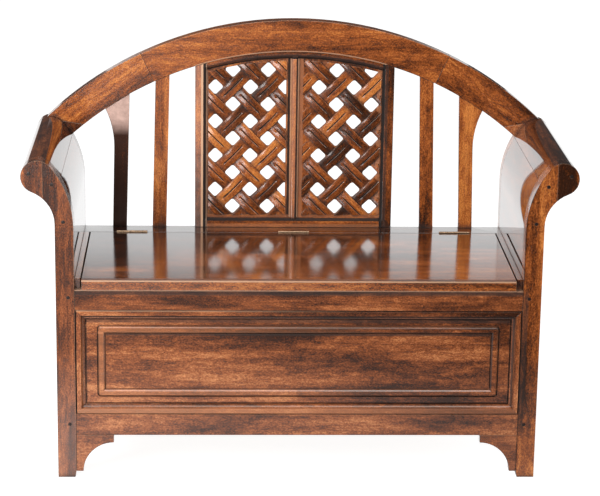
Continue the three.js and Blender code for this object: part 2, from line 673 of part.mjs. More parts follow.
function lidBoard() {
  const board = block(-LID_HALF_WIDTH, LID_HALF_WIDTH, 0, LID_DEPTH, LID_BOTTOM_Z, SEAT_HEIGHT);
  return cutBy(board, hingeCuts(-1));
}

function seatLedge() {
  // the ledge's section, turned so that it runs along X, with its back upper edge rounded
  const centre = [LEDGE_BACK_Y - LEDGE_ROUNDING, SEAT_HEIGHT - LEDGE_ROUNDING];
  const section = [
    [LEDGE_FRONT_Y, LID_BOTTOM_Z],
    [LEDGE_BACK_Y, LID_BOTTOM_Z],
    ...arc(centre, LEDGE_ROUNDING, 0, QUARTER_TURN, SMALL_ARC_STEPS),
    [LEDGE_FRONT_Y, SEAT_HEIGHT],
  ];
  const shape = new THREE.Shape(section.map(([y, z]) => new THREE.Vector2(y, z)));
  const geometry = new THREE.ExtrudeGeometry(shape, { depth: 2 * LEG_INNER_X, bevelEnabled: false });
  geometry.rotateX(QUARTER_TURN);
  geometry.rotateZ(QUARTER_TURN);
  geometry.translate(-LEG_INNER_X, 0, 0);
  return cutBy(toSolid(geometry), [...hingeCuts(1), ...uprightMortises()]);
}

// Crest: a band between two arcs, in three lengths, with its ends coped to the rear scrolls

const CREST_TOP_Z = SEAT_HEIGHT + CREST_RISE;

// The radius of an arc over the middle of the bench that tops out at topZ and passes
// the scroll's centre at the given distance, counted outwards
function radiusPast(topZ, outside) {
  const rise = topZ - SCROLL_CENTRE[1];
  return (SCROLL_CENTRE[0] ** 2 + rise ** 2 - outside ** 2) / (2 * (rise - outside));
}

const CREST_OUTER_RADIUS = radiusPast(CREST_TOP_Z, CREST_OVER_SCROLL);
const CREST_INNER_RADIUS = radiusPast(CREST_TOP_Z - CREST_MIDDLE_HEIGHT, -CREST_UNDER_SCROLL);
const CREST_OUTER_CENTRE = [0, CREST_TOP_Z - CREST_OUTER_RADIUS];
const CREST_INNER_CENTRE = [0, CREST_TOP_Z - CREST_MIDDLE_HEIGHT - CREST_INNER_RADIUS];
const ARCH_RADIUS = CREST_INNER_RADIUS - FRAME_ARCH_HEIGHT;

// The angle, seen from the outer arc's centre, of the point where a ray from the inner centre meets it
function outerAngle(innerAngle) {
  const offset = CREST_OUTER_CENTRE[1] - CREST_INNER_CENTRE[1];
  return innerAngle + Math.asin((-offset * Math.cos(innerAngle)) / CREST_OUTER_RADIUS);
}

function crestOutline(startAngle, endAngle, steps) {
  return [
    ...arc(CREST_INNER_CENTRE, CREST_INNER_RADIUS, startAngle, endAngle, steps),
    ...arc(CREST_OUTER_CENTRE, CREST_OUTER_RADIUS, outerAngle(endAngle), outerAngle(startAngle), steps),
  ];
}

const CREST_END_ANGLE = angleOf(CREST_INNER_CENTRE, SCROLL_CENTRE);
const CREST_JOINT = THREE.MathUtils.degToRad(CREST_JOINT_ANGLE);

function crestMiddle() {
  const band = prism(crestOutline(CREST_JOINT, Math.PI - CREST_JOINT, 2 * CREST_STEPS), CREST_FRONT_Y, TOTAL_DEPTH);
  return cutBy(band, uprightMortises());
}

function crestEndBand() {
  return prism(crestOutline(CREST_END_ANGLE, CREST_JOINT, CREST_STEPS), CREST_FRONT_Y, TOTAL_DEPTH);
}

// The space below the cut across the crest's end, where a shoulder of the rear leg fills the band
function shoulderSide(clear) {
  const slope = Math.tan(THREE.MathUtils.degToRad(SHOULDER_SLOPE_ANGLE));
  const cutZ = (x) => SCROLL_CENTRE[1] + SHOULDER_RISE + clear + slope * (x - SCROLL_CENTRE[0]);
  const near = LEG_INNER_X - LEG_WIDTH;
  const far = SCROLL_CENTRE[0] + SCROLL_RADIUS;
  return prism([[near, 0], [far, 0], [far, cutZ(far)], [near, cutZ(near)]],
    CREST_FRONT_Y - OVERRUN, TOTAL_DEPTH + OVERRUN);
}

function crestEnd() {
  const scroll = prism(legOutline(FIT), CREST_FRONT_Y - OVERRUN, TOTAL_DEPTH + OVERRUN);
  return cutBy(crestEndBand(), [scroll, shoulderSide(FIT), ...uprightMortises()]);
}

function rearLeg() {
  return prism(legOutline(), REAR_LEG_FRONT_Y, TOTAL_DEPTH).add(crestEndBand().intersect(shoulderSide(0)));
}

// Uprights of the back: slats and frame stiles, each with a stub tenon at both ends

function crestUndersideZ(x) {
  return CREST_INNER_CENTRE[1] + Math.sqrt(CREST_INNER_RADIUS ** 2 - x ** 2);
}

// Everything above the crest's underside, less the fit, as a cutter for the tops of the uprights
function aboveCrestUnderside() {
  const top = CREST_TOP_Z + LEG_OUTER_X;
  const outline = [
    ...arc(CREST_INNER_CENTRE, CREST_INNER_RADIUS - FIT, CREST_END_ANGLE, Math.PI - CREST_END_ANGLE, 4 * CREST_STEPS),
    [-LEG_OUTER_X, top],
    [LEG_OUTER_X, top],
  ];
  return prism(outline, 0, TOTAL_DEPTH);
}

function slatX(centreX, z) {
  return centreX - SLAT_LEAN * (z - SEAT_HEIGHT);
}

// Each upright of the right side: centre line at the seat and under the crest, and its tenon's half width
function uprights() {
  const tenonHalf = (width) => width / 2 - UPRIGHT_TENON_SHOULDER;
  const stileX = FRAME_OUTER_X - FRAME_STILE_WIDTH / 2;
  const slats = [INNER_SLAT_X, OUTER_SLAT_X].map((x) => ({
    lowX: x,
    highX: slatX(x, crestUndersideZ(x)),
    half: tenonHalf(SLAT_WIDTH),
    middleY: SLAT_FRONT_Y + SLAT_THICKNESS / 2,
  }));
  const stile = {
    lowX: stileX,
    highX: stileX,
    half: tenonHalf(FRAME_STILE_WIDTH),
    middleY: FRAME_FRONT_Y + FRAME_THICKNESS / 2,
  };
  return [...slats, stile];
}

function uprightTenons({ lowX, highX, half, middleY }, clear) {
  const thickness = UPRIGHT_TENON_THICKNESS / 2 + clear;
  const reach = UPRIGHT_TENON_LENGTH + clear;
  const width = half + clear;
  const highZ = crestUndersideZ(highX);
  const overlap = SLAT_WIDTH;
  return [
    block(lowX - width, lowX + width, middleY - thickness, middleY + thickness,
      SEAT_HEIGHT - reach, SEAT_HEIGHT + OVERRUN),
    block(highX - width, highX + width, middleY - thickness, middleY + thickness,
      highZ - overlap, highZ + reach),
  ];
}

function uprightMortises() {
  const cutters = uprights().flatMap((upright) => uprightTenons(upright, FIT));
  return [...cutters, ...cutters.map(mirrored)];
}

function slatBody(outline) {
  return prism(outline, SLAT_FRONT_Y, SLAT_BACK_Y).subtract(aboveCrestUnderside());
}

function innerSlat() {
  const topZ = crestUndersideZ(0);
  const half = SLAT_WIDTH / 2;
  const low = INNER_SLAT_X;
  const high = slatX(low, topZ);
  const body = slatBody([[low - half, SEAT_HEIGHT], [low + half, SEAT_HEIGHT], [high + half, topZ], [high - half, topZ]]);
  return joined([body, ...uprightTenons(uprights()[0], 0)]);
}

// The outer slat widens outwards below the crest in an arc that leaves its edge smoothly
function outerSlat() {
  const topZ = crestUndersideZ(0);
  const half = SLAT_WIDTH / 2;
  const low = OUTER_SLAT_X;
  const high = slatX(low, topZ);
  const startZ = crestUndersideZ(low) - SLAT_FLARE_DROP;
  const startX = slatX(low, startZ) + half;
  const lean = Math.atan(SLAT_LEAN);
  const centre = [
    startX + SLAT_FLARE_RADIUS * Math.cos(lean),
    startZ + SLAT_FLARE_RADIUS * Math.sin(lean),
  ];
  const flare = arc(centre, SLAT_FLARE_RADIUS, Math.PI + lean, Math.PI / 2 + Math.PI / 5, CREST_STEPS);
  const body = slatBody([
    [low - half, SEAT_HEIGHT],
    [low + half, SEAT_HEIGHT],
    ...flare,
    [high - half, flare[flare.length - 1][1]],
  ]);
  return joined([body, ...uprightTenons(uprights()[1], 0)]);
}

// Centre frame: stiles, arch rail, bottom rail and muntin, chamfered round both openings

function latticeOpening(nearX, farX, lowZ, radius) {
  const centre = CREST_INNER_CENTRE;
  const angleAt = (x) => Math.acos(x / radius);
  return [[nearX, lowZ], [farX, lowZ], ...arc(centre, radius, angleAt(farX), angleAt(nearX), CREST_STEPS)];
}

function frameChamfers() {
  const opening = latticeOpening(MUNTIN_HALF, FRAME_INNER_X, FRAME_RAIL_TOP_Z, ARCH_RADIUS);
  const right = funnel(opening, FRAME_FRONT_Y, FRAME_CHAMFER_DEPTH, FRAME_CHAMFER_WIDTH, 1);
  return [right, mirrored(right)];
}

function frameStile() {
  const topZ = crestUndersideZ(0);
  const outline = rectangle(FRAME_INNER_X, FRAME_OUTER_X, SEAT_HEIGHT, topZ);
  const body = prism(outline, FRAME_FRONT_Y, FRAME_BACK_Y).subtract(aboveCrestUnderside());
  return cutBy(joined([body, ...uprightTenons(uprights()[2], 0)]), frameChamfers());
}

function frameRail() {
  const board = block(-FRAME_INNER_X, FRAME_INNER_X, FRAME_FRONT_Y, FRAME_BACK_Y, SEAT_HEIGHT, FRAME_RAIL_TOP_Z);
  return cutBy(board, frameChamfers());
}

function frameArch() {
  const angleAt = (radius) => Math.acos(FRAME_INNER_X / radius);
  const upper = CREST_INNER_RADIUS - FIT;
  const outline = [
    ...arc(CREST_INNER_CENTRE, upper, angleAt(upper), Math.PI - angleAt(upper), 2 * CREST_STEPS),
    ...arc(CREST_INNER_CENTRE, ARCH_RADIUS, Math.PI - angleAt(ARCH_RADIUS), angleAt(ARCH_RADIUS), 2 * CREST_STEPS),
  ];
  return cutBy(prism(outline, FRAME_FRONT_Y, FRAME_BACK_Y), frameChamfers());
}

function frameMuntin() {
  const topZ = CREST_INNER_CENTRE[1] + Math.sqrt((ARCH_RADIUS - FIT) ** 2 - MUNTIN_HALF ** 2);
  const board = block(-MUNTIN_HALF, MUNTIN_HALF, FRAME_FRONT_Y, FRAME_BACK_Y, FRAME_RAIL_TOP_Z, topZ);
  return cutBy(board, frameChamfers());
}

// Woven lattice: straps at 45 degrees pass over and under each other inside a flat rim

const WEAVE_STEP = WEAVE_PITCH / Math.SQRT2; // sideways distance between columns of holes
const WEAVE_FRONT_Y = FRAME_FRONT_Y + WEAVE_RECESS;

// One strap along +X, waving in depth; phase is 0 where it is over at X = 0
function strap(length, phase) {
  const count = Math.ceil(length / WEAVE_PITCH);
  const front = [];
  for (let step = -count * WEAVE_STEPS; step <= count * WEAVE_STEPS; step += 1) {
    const along = (step * WEAVE_PITCH) / WEAVE_STEPS;
    const depth = (WEAVE_RISE * (1 - Math.cos((Math.PI * along) / WEAVE_PITCH + phase))) / 2;
    front.push([along, depth]);
  }
  const back = front.map(([along, depth]) => [along, depth + WEAVE_STRAP_THICKNESS]).reverse();
  const shape = new THREE.Shape([...front, ...back].map(([along, depth]) => new THREE.Vector2(along, depth)));
  const ribbon = new THREE.ExtrudeGeometry(shape, { depth: WEAVE_STRAP_WIDTH, bevelEnabled: false });
  ribbon.translate(0, 0, -WEAVE_STRAP_WIDTH / 2);
  return ribbon;
}

// A strap turned to run up to the right (lean +1) or down to the right (lean -1) through a crossing
function placedStrap(lean, x, z, length, phase) {
  const geometry = strap(length, phase);
  geometry.rotateY((-lean * Math.PI) / 4);
  geometry.translate(x, WEAVE_FRONT_Y, z);
  return toSolid(geometry);
}

function woven(firstHoleX, nearX, farX, lowZ, highZ) {
  const straps = [];
  const length = Math.hypot(farX - nearX, highZ - lowZ);
  const columns = Math.ceil((farX - nearX) / WEAVE_STEP) + 1;
  const rows = Math.ceil((highZ - lowZ) / WEAVE_STEP) + 1;
  const reach = columns + rows;
  for (let shift = -reach; shift <= reach; shift += 1) {
    if (shift % 2 !== 0) {
      // the straps through the crossing that lies shift steps above the first hole
      const z = SEAT_HEIGHT + WEAVE_HOLE_RISE + shift * WEAVE_STEP;
      const insideRising = crossesBox(firstHoleX, z, 1, nearX, farX, lowZ, highZ);
      const insideFalling = crossesBox(firstHoleX, z, -1, nearX, farX, lowZ, highZ);
      if (insideRising) {
        straps.push(placedStrap(1, firstHoleX, z, length, Math.PI));
      }
      if (insideFalling) {
        straps.push(placedStrap(-1, firstHoleX, z, length, 0));
      }
    }
  }
  return joined(straps);
}

// Whether a strap's band through (x, z) touches the box
function crossesBox(x, z, lean, nearX, farX, lowZ, highZ) {
  const half = (WEAVE_STRAP_WIDTH / 2) * Math.SQRT2;
  const atNear = z + lean * (nearX - x);
  const atFar = z + lean * (farX - x);
  return Math.max(atNear, atFar) > lowZ - half && Math.min(atNear, atFar) < highZ + half;
}

function latticePanel(side) {
  const near = MUNTIN_HALF;
  const far = FRAME_INNER_X;
  const radius = ARCH_RADIUS - FIT;
  const outline = latticeOpening(near, far, FRAME_RAIL_TOP_Z, radius);
  const holeInside = (nearRim, letIn) => latticeOpening(near + nearRim - letIn,
    far - LATTICE_RIM_AT_STILE + letIn, FRAME_RAIL_TOP_Z + LATTICE_RIM_AT_RAIL - letIn,
    radius - LATTICE_RIM_AT_ARCH + letIn);
  const rimWidth = LATTICE_RIM_AT_MUNTIN + (side > 0 ? LATTICE_RIM_BEHIND : 0);
  const flip = (points) => points.map(([x, z]) => [side * x, z]);
  const rimFront = WEAVE_FRONT_Y + LATTICE_RIM_SETBACK;
  const back = WEAVE_FRONT_Y + LATTICE_THICKNESS;
  const rim = ring(flip(outline), flip(holeInside(rimWidth, 0)), rimFront, back);
  const highZ = CREST_INNER_CENTRE[1] + radius;
  const [lowX, highX] = side > 0 ? [near, far] : [-far, -near];
  const firstHole = side > 0 ? WEAVE_RIGHT_HOLE_X : WEAVE_LEFT_HOLE_X;
  const weave = woven(firstHole, lowX, highX, FRAME_RAIL_TOP_Z, highZ);
  const room = prism(flip(holeInside(LATTICE_RIM_AT_MUNTIN, WEAVE_LET_IN)), WEAVE_FRONT_Y - OVERRUN, back);
  return rim.add(weave.intersect(room));
}

// Assembly

const bench = new THREE.Group();
bench.position.y = -TOTAL_DEPTH / 2;

function addPiece(group, name, solid, finish) {
  const mesh = new THREE.Mesh(toGeometry(solid), new THREE.MeshStandardMaterial(FINISHES[finish]));
  mesh.name = name;
  group.add(mesh);
}

// A right-hand piece and its mirror image
function addPair(group, name, solid, finish) {
  addPiece(group, `${name}_right`, solid, finish);
  addPiece(group, `${name}_left`, mirrored(solid), finish);
}

function addGroup() {
  const group = new THREE.Group();
  bench.add(group);
  return group;
}

function addArms() {
  const arms = addGroup();
  addPair(arms, 'front_leg', frontLeg(), 'leg_wood');
  addPair(arms, 'front_scroll', scrollBlock(), 'leg_wood');
  addPair(arms, 'rear_leg', rearLeg(), 'leg_wood');
  addPair(arms, 'arm_panel', armPanel(), 'panel_wood');
  addPair(arms, 'arm_roll', armRoll(), 'panel_wood');
}

function addChest() {
  const chest = addGroup();
  addPiece(chest, 'front_top_rail', frontRail(OPENING_TOP_Z, LID_BOTTOM_Z), 'rail_wood');
  addPiece(chest, 'front_bottom_rail', frontRail(RAIL_BOTTOM_Z, OPENING_BOTTOM_Z), 'rail_wood');
  addPair(chest, 'corner_bracket', cornerBracket(), 'rail_wood');
  addPiece(chest, 'front_panel', frontPanel(), 'panel_wood');
  panelMouldings().forEach(([name, solid]) => addPiece(chest, name, solid, 'rail_wood'));
  addPair(chest, 'side_top_rail', sideRail(OPENING_TOP_Z, LID_BOTTOM_Z), 'rail_wood');
  addPair(chest, 'side_bottom_rail', sideRail(RAIL_BOTTOM_Z, OPENING_BOTTOM_Z), 'rail_wood');
  addPair(chest, 'side_panel', sidePanel(), 'panel_wood');
  addPiece(chest, 'back_top_rail', backRail(OPENING_TOP_Z, LID_BOTTOM_Z), 'rail_wood');
  addPiece(chest, 'back_bottom_rail', backRail(RAIL_BOTTOM_Z, OPENING_BOTTOM_Z), 'rail_wood');
  addPiece(chest, 'back_panel', backPanel(), 'panel_wood');
  addPiece(chest, 'chest_floor', chestFloor(), 'inner_wood');
  addPiece(chest, 'floor_cleat_front', floorCleat(RAIL_BACK_Y), 'inner_wood');
  addPiece(chest, 'floor_cleat_back', floorCleat(BACK_RAIL_FRONT_Y - FLOOR_CLEAT_WIDTH), 'inner_wood');
  addPair(chest, 'seat_cleat', seatCleat(), 'inner_wood');
}

function addSeat() {
  const seat = addGroup();
  addPair(seat, 'seat_strip', seatStrip(), 'lid_wood');
  addPiece(seat, 'seat_ledge', seatLedge(), 'lid_wood');
  HINGE_PLACES.forEach((place, index) => {
    addPiece(seat, `hinge_leaf_fixed_${index + 1}`, hingeLeaf(place, 1), 'hinge_brass');
    addPiece(seat, `hinge_pin_${index + 1}`, hingePin(place), 'hinge_brass');
  });
}

function addLid() {
  const lid = addGroup();
  addPiece(lid, 'lid_board', lidBoard(), 'lid_wood');
  HINGE_PLACES.forEach((place, index) => {
    addPiece(lid, `hinge_leaf_lid_${index + 1}`, hingeLeaf(place, -1), 'hinge_brass');
  });
}

function addBack() {
  const back = addGroup();
  addPiece(back, 'crest_middle', crestMiddle(), 'crest_wood');
  addPair(back, 'crest', crestEnd(), 'crest_wood');
  addPair(back, 'inner_slat', innerSlat(), 'crest_wood');
  addPair(back, 'outer_slat', outerSlat(), 'crest_wood');
  addPair(back, 'frame_stile', frameStile(), 'crest_wood');
  addPiece(back, 'frame_bottom_rail', frameRail(), 'crest_wood');
  addPiece(back, 'frame_arch_rail', frameArch(), 'crest_wood');
  addPiece(back, 'frame_muntin', frameMuntin(), 'crest_wood');
  addPiece(back, 'lattice_right', latticePanel(1), 'lattice_wood');
  addPiece(back, 'lattice_left', latticePanel(-1), 'lattice_wood');
}

addArms();
addChest();
addSeat();
addLid();
addBack();

export default bench;
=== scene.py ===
import math
from collections import namedtuple

import bmesh
import bpy
from mathutils import Matrix, Vector


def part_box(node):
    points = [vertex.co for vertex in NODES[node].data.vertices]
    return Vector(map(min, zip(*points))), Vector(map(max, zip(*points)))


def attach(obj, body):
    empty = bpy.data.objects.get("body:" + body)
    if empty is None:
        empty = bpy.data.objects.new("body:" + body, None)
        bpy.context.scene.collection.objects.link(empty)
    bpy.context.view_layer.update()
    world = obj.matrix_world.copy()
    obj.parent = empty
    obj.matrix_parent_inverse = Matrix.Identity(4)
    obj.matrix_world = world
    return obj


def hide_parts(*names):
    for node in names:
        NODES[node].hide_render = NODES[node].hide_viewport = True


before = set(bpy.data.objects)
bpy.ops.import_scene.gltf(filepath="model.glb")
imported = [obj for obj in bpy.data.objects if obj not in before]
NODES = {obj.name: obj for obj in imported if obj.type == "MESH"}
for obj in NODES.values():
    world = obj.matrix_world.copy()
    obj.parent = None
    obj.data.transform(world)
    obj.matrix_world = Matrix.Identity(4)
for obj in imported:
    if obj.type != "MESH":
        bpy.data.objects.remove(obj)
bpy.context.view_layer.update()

# Camera, fitted to the photograph
CAMERA_PLACE = (-0.19734, -5.00793, 1.88363)
CAMERA_YAW = 0.04122
CAMERA_PITCH = 0.27446
CAMERA_ROLL = 0.015118
CAMERA_LENS = 134.685
SENSOR_WIDTH = 36.0
CLIP_NEAR = 0.05
CLIP_FAR = 60.0

# Light
BLACK = (0.0, 0.0, 0.0, 1.0)
WHITE = (1.0, 1.0, 1.0, 1.0)
WORLD_FILL = 0.35
DARK_SEEN = 0.05
TOP_SEEN = 0.3
KEY_PLACE = (-1.9, -1.9, 1.7)
KEY_SIZE = (1.4, 1.4)
KEY_POWER = 80.0
LOW_PLACE = (-1.05, -3.0, 0.75)
LOW_SIZE = (0.8, 0.8)
LOW_POWER = 16.0
TOP_PLACE = (0.0, -0.9, 2.6)
TOP_SIZE = (2.0, 1.1)
TOP_POWER = 18.0
SIDE_PLACE = (3.0, -1.2, 1.4)
SIDE_SIZE = (0.9, 1.8)
SIDE_POWER = 16.0
LIGHT_AIM = (0.0, 0.0, 0.45)

# White card behind the bench, which only gloss shows
CARD_Y = 1.5
CARD_HALF = 4.0
CARD_TOP = 1.3
CARD_FADE_LOW = 0.87
CARD_FADE_HIGH = 1.0
CARD_FAINT = 0.32
CARD_DARK_HIGH = 1.06
CARD_SIDE_X = 0.7
CARD_SIDE_TOP = 0.71
CARD_SIDE_SOFT = 0.01

# Floor
FLOOR_HALF = 12.0
FLOOR_DROP = 0.0005
SHEET_CUTS = 4
FLOOR_COLOUR = (0.5, 0.5, 0.5, 1.0)
FLOOR_GLOW = 0.9
FLOOR_ROUGH = 0.9
FLOOR_NEAR_Y = -0.6
FLOOR_FAR_Y = -1.15
FLOOR_SIDE_X = 0.6
NEAR_SEEN_RIGHT = 0.35
FRONT_SEEN_LEFT = 0.3
FRONT_SEEN_RIGHT = 0.02

# Edges of the boards
EDGE_ANGLE = math.radians(28)
FLAT_ANGLE = math.radians(0.6)
WELD_DISTANCE = 0.00002
BOARD_EDGE = 0.0012
LID_EDGE = 0.002
FINE_EDGE = 0.0005
BEAD_EDGE = 0.0022
METAL_EDGE = 0.0002
EDGE_SEGMENTS = 2

# Wood colours, as seen on screen, from dark to light
RED_BROWN = ((56, 28, 15), (104, 54, 28), (154, 85, 45), (204, 132, 82))
ORANGE_BROWN = ((52, 25, 10), (106, 53, 21), (160, 85, 37), (212, 131, 63))
RAW_WOOD = ((120, 84, 52), (150, 112, 74), (176, 138, 96), (200, 166, 122))
FIGURE_STOPS = (0.41, 0.47, 0.53, 0.6)
# Painted shade: the dark laid into corners, under edges and along shadowed lines and grooves
PAINTED_SHADE = (16, 8, 5)
# Painted highlight on edges and lines that catch the light
PAINTED_HIGHLIGHT = (216, 172, 138)
# Painted sheen: a pale pink reflection laid over the wood
SHEEN_PAINT = (222, 186, 172)
PEG_COLOUR = (38, 18, 11)
BRASS_COLOUR = (206, 172, 140)
# Brown of painted highlights on beads, edges and rims
BROWN_HIGHLIGHT = (206, 136, 92)
# Brown of painted light laid over shaded quirks and beads
PAINTED_LIGHT_BROWN = (158, 98, 62)
RIM_BROWN = (158, 100, 66)

# Figure of the wood: scale along and across the grain, detail, roughness, twist, and share in the tone
FIGURE = {
    "streaks": ((3.2, 36.0, 36.0), 5.0, 0.5, 0.6, 0.26),
    "lines": ((12.0, 280.0, 280.0), 3.0, 0.6, 0.0, 0.08),
    "mottle": ((26.0, 85.0, 85.0), 4.0, 0.6, 0.8, 0.2),
    "blotch": ((3.0, 9.0, 9.0), 2.0, 0.5, 0.0, 0.24),
    "speckle": ((240.0, 420.0, 420.0), 2.0, 0.6, 0.0, 0.22),
}
PORE_SCALE = (200.0, 560.0, 560.0)
PORE_DETAIL = 2.0
PORE_ROUGH = 0.6
LINE_HEIGHT = 0.6

# Ranges: from low and high of one value to the two values it turns into, 0 and 1 where none are given
PORE_DEPTH = (0.34, 0.5, 0.66, 1.0)
MOTTLE_ROUGHNESS = (0.3, 0.7, 0.3, 0.18)
CLOUD = (0.3, 0.7)
FACING_LEAN = (-0.45, -0.25, 1.0, 0.0)
HIGHLIGHT_LEAN = (0.22, 0.5)
HIGHLIGHT_OPEN = (0.72, 0.86)
UP_LEAN = (0.1, 0.5)
DARK_LEAN = (-0.5, -0.22, 1.0, 0.0)
REAR_LEAN = (0.15, 0.4)
REAR_RISE = (0.3, 0.6)
SCRATCH_ROUGHNESS = (0.3, 0.7, 0.22, 0.42)
PEG_ROUGHNESS = (0.3, 0.7, 0.6, 0.4)
SKY_RISE = (0.5, 0.95)

# Relief of the wood and ripple of its lacquer
RELIEF_STRENGTH = 0.25
RELIEF_DEPTH = 0.0002
RIPPLE_SCALE = (8.0, 40.0, 40.0)
RIPPLE_DETAIL = 2.0
RIPPLE_DEPTH = 0.0004

# Painted sheen: a pale reflection painted into the colour, broken up by noise
SHEEN_SCALE = 60.0
SHEEN_DETAIL = 4.0
SHEEN_THIN = 0.6

# Brass
TARNISH_SCALE = 320.0
TARNISH_DETAIL = 5.0
TARNISH_ROUGH = 0.6
TARNISH_SHARE = 0.45
TARNISH_STOPS = (0.35, 0.65)
SCRATCH_SCALE = (60.0, 2600.0, 2600.0)
SCRATCH_DETAIL = 2.0
SCRATCH_STRENGTH = 0.2
SCRATCH_DEPTH = 0.0001

# Painted shade in corners: how far it looks, the openness where it is full and where it starts,
# and how strong it is
FINE_CORNERS = (0.0035, 0.4, 0.8, 0.95)
WIDE_CORNERS = (0.018, 0.4, 0.85, 0.85)
LOOK_SAMPLES = 6
# Painted highlights and shade on edges: how far an edge reaches, the share of corner shade kept on faces
# that look up, and how strong the edge shade is
EDGE_REACH = 0.0026
UP_SHADE_SHARE = 0.25
DARK_SHARE = 0.92
# Roughness where painted shade has taken the shine
SHADE_MATT_ROUGH = 0.9

# Woven lattice, as in the solids
WEAVE_PITCH = 0.0589
WEAVE_STEP = WEAVE_PITCH / math.sqrt(2)
STRAP_HALF = 0.0155
STRAP_THICKNESS = 0.007
WEAVE_RISE = 0.0065
LATTICE_THICKNESS = 0.012
HOLE_Z = 0.6405
HOLE_X = {"left": -0.188, "right": 0.058}
ARCH_CENTRE_Z = 0.104
ARCH_RADIUS = 0.7732
RIM_SETBACK = 0.005
RIM_AT_MUNTIN = 0.010
RIM_AT_STILE = 0.004
RIM_AT_RAIL = 0.006
RIM_AT_ARCH = 0.006
RIM_BEHIND = {"left": 0.0, "right": 0.016}
STRAP_LET_IN = 0.001
ARCH_STEPS = 16
STEPS_PER_CROSSING = 14
GROOVE_HALF_LENGTH = 0.033
GROOVE_FADE = 0.006
GROOVE_HALF_WIDTH = 0.0014
GROOVE_DEPTH = 0.0016
STRAP_CROWN = 0.0004
STRAP_ROUNDING = 0.0016
ROUNDING_MIDDLE = 0.3
CROWN_SIDE_PLACE = 0.5
CROWN_SIDE_HEIGHT = 0.8
GROOVE_LIP = 1.6
GROOVE_WALL = 0.5
STRAP_TONES = (0.01, -0.02, 0.03, -0.01, 0.02, -0.03, 0.0, 0.03, -0.015, 0.015, -0.005)
GRAIN_SHIFT_ALONG = 7.0
GRAIN_SHIFT_ACROSS = 3.0
WEAVE_TONE = -0.005
WEAVE_PLACE = 0.31
WEAVE_SPARE = 4
RIM_TONE = 0.02
FILLET_RADIUS = 0.0058
FILLET_LET_IN = 0.0015
FILLET_FRONT = 0.0056
FILLET_BACK = 0.0092
FILLET_STEPS = 6
# The fillets carry the sunk mark, so painted shade darkens the hole corners
FILLET_SUNK = 0.8

# Pegs
PEG_RADIUS = 0.0038
PEG_DOME = 0.0002
PEG_FACE_DEPTH = 0.00005
PEG_LENGTH = 0.0003
PEG_FACE_SHARE = 0.8
PEG_MIDDLE_SHARE = 0.3
PEG_SECTIONS = (
    (PEG_RADIUS, PEG_LENGTH),
    (PEG_RADIUS, PEG_DOME),
    (PEG_RADIUS * PEG_FACE_SHARE, PEG_FACE_DEPTH),
    (PEG_RADIUS * PEG_MIDDLE_SHARE, PEG_FACE_DEPTH),
)
PEG_SIDES = 20
PEG_PORE_SCALE = 2200.0
PEG_PORE_DETAIL = 3.0
PEG_PORE_STOPS = (0.4, 0.6)
PEG_PORE_SHARE = 0.3
PEG_COAT = 0.3
PEG_PLACES = ((0.5127, 0.1265), (0.5127, 0.424), (0.5215, 0.597), (0.5952, 0.7057), (0.5452, 0.6817))


def linear(colour):
    """Screen colour 0 to 255 as the linear colour that shaders take."""
    def channel(value):
        share = value / 255
        return share / 12.92 if share <= 0.04045 else ((share + 0.055) / 1.055) ** 2.4
    return tuple(channel(value) for value in colour) + (1.0,)


def darker(colour, share):
    """A linear colour with its channels brought down to a share."""
    return tuple(channel * share for channel in colour[:3]) + (1.0,)


class Shader:
    """A node tree with short calls for adding and joining nodes."""

    def __init__(self, tree):
        self.tree = tree

    def add(self, kind, **settings):
        made = self.tree.nodes.new(kind)
        for name, value in settings.items():
            setattr(made, name, value)
        return made

    def join(self, source, target):
        self.tree.links.new(source, target)

    def feed(self, socket, value):
        if isinstance(value, bpy.types.NodeSocket):
            self.join(value, socket)
        else:
            socket.default_value = value

    def math(self, operation, first, second=0.0):
        made = self.add("ShaderNodeMath", operation=operation)
        self.feed(made.inputs[0], first)
        self.feed(made.inputs[1], second)
        return made.outputs[0]

    def stretch(self, vector, scale, place=(0, 0, 0), turn=(0, 0, 0)):
        made = self.add("ShaderNodeMapping")
        self.join(vector, made.inputs["Vector"])
        self.feed(made.inputs["Scale"], scale)
        self.feed(made.inputs["Location"], place)
        self.feed(made.inputs["Rotation"], turn)
        return made.outputs[0]

    def noise(self, vector, scale, detail=3.0, rough=0.55, twist=0.0):
        made = self.add("ShaderNodeTexNoise")
        self.join(vector, made.inputs["Vector"])
        made.inputs["Scale"].default_value = scale
        made.inputs["Detail"].default_value = detail
        made.inputs["Roughness"].default_value = rough
        made.inputs["Distortion"].default_value = twist
        return made.outputs[0]

    def remap(self, value, low, high, new_low=0.0, new_high=1.0):
        made = self.add("ShaderNodeMapRange", clamp=True)
        self.feed(made.inputs["Value"], value)
        made.inputs["From Min"].default_value = low
        made.inputs["From Max"].default_value = high
        made.inputs["To Min"].default_value = new_low
        made.inputs["To Max"].default_value = new_high
        return made.outputs[0]

    def ramp(self, value, stops):
        made = self.add("ShaderNodeValToRGB")
        band = made.color_ramp
        band.elements[0].position, band.elements[0].color = stops[0]
        band.elements[1].position, band.elements[1].color = stops[-1]
        for position, colour in stops[1:-1]:
            band.elements.new(position).color = colour
        self.join(value, made.inputs[0])
        return made.outputs[0]

    def blend(self, share, first, second, kind="MIX"):
        made = self.add("ShaderNodeMix", data_type="RGBA", blend_type=kind)
        self.feed(made.inputs[0], share)
        self.feed(made.inputs[6], first)
        self.feed(made.inputs[7], second)
        return made.outputs[2]

    def bump(self, height, strength, depth):
        made = self.add("ShaderNodeBump")
        made.inputs["Strength"].default_value = strength
        made.inputs["Distance"].default_value = depth
        self.join(height, made.inputs["Height"])
        return made.outputs["Normal"]

    def split(self, vector):
        made = self.add("ShaderNodeSeparateXYZ")
        self.join(vector, made.inputs[0])
        return made.outputs


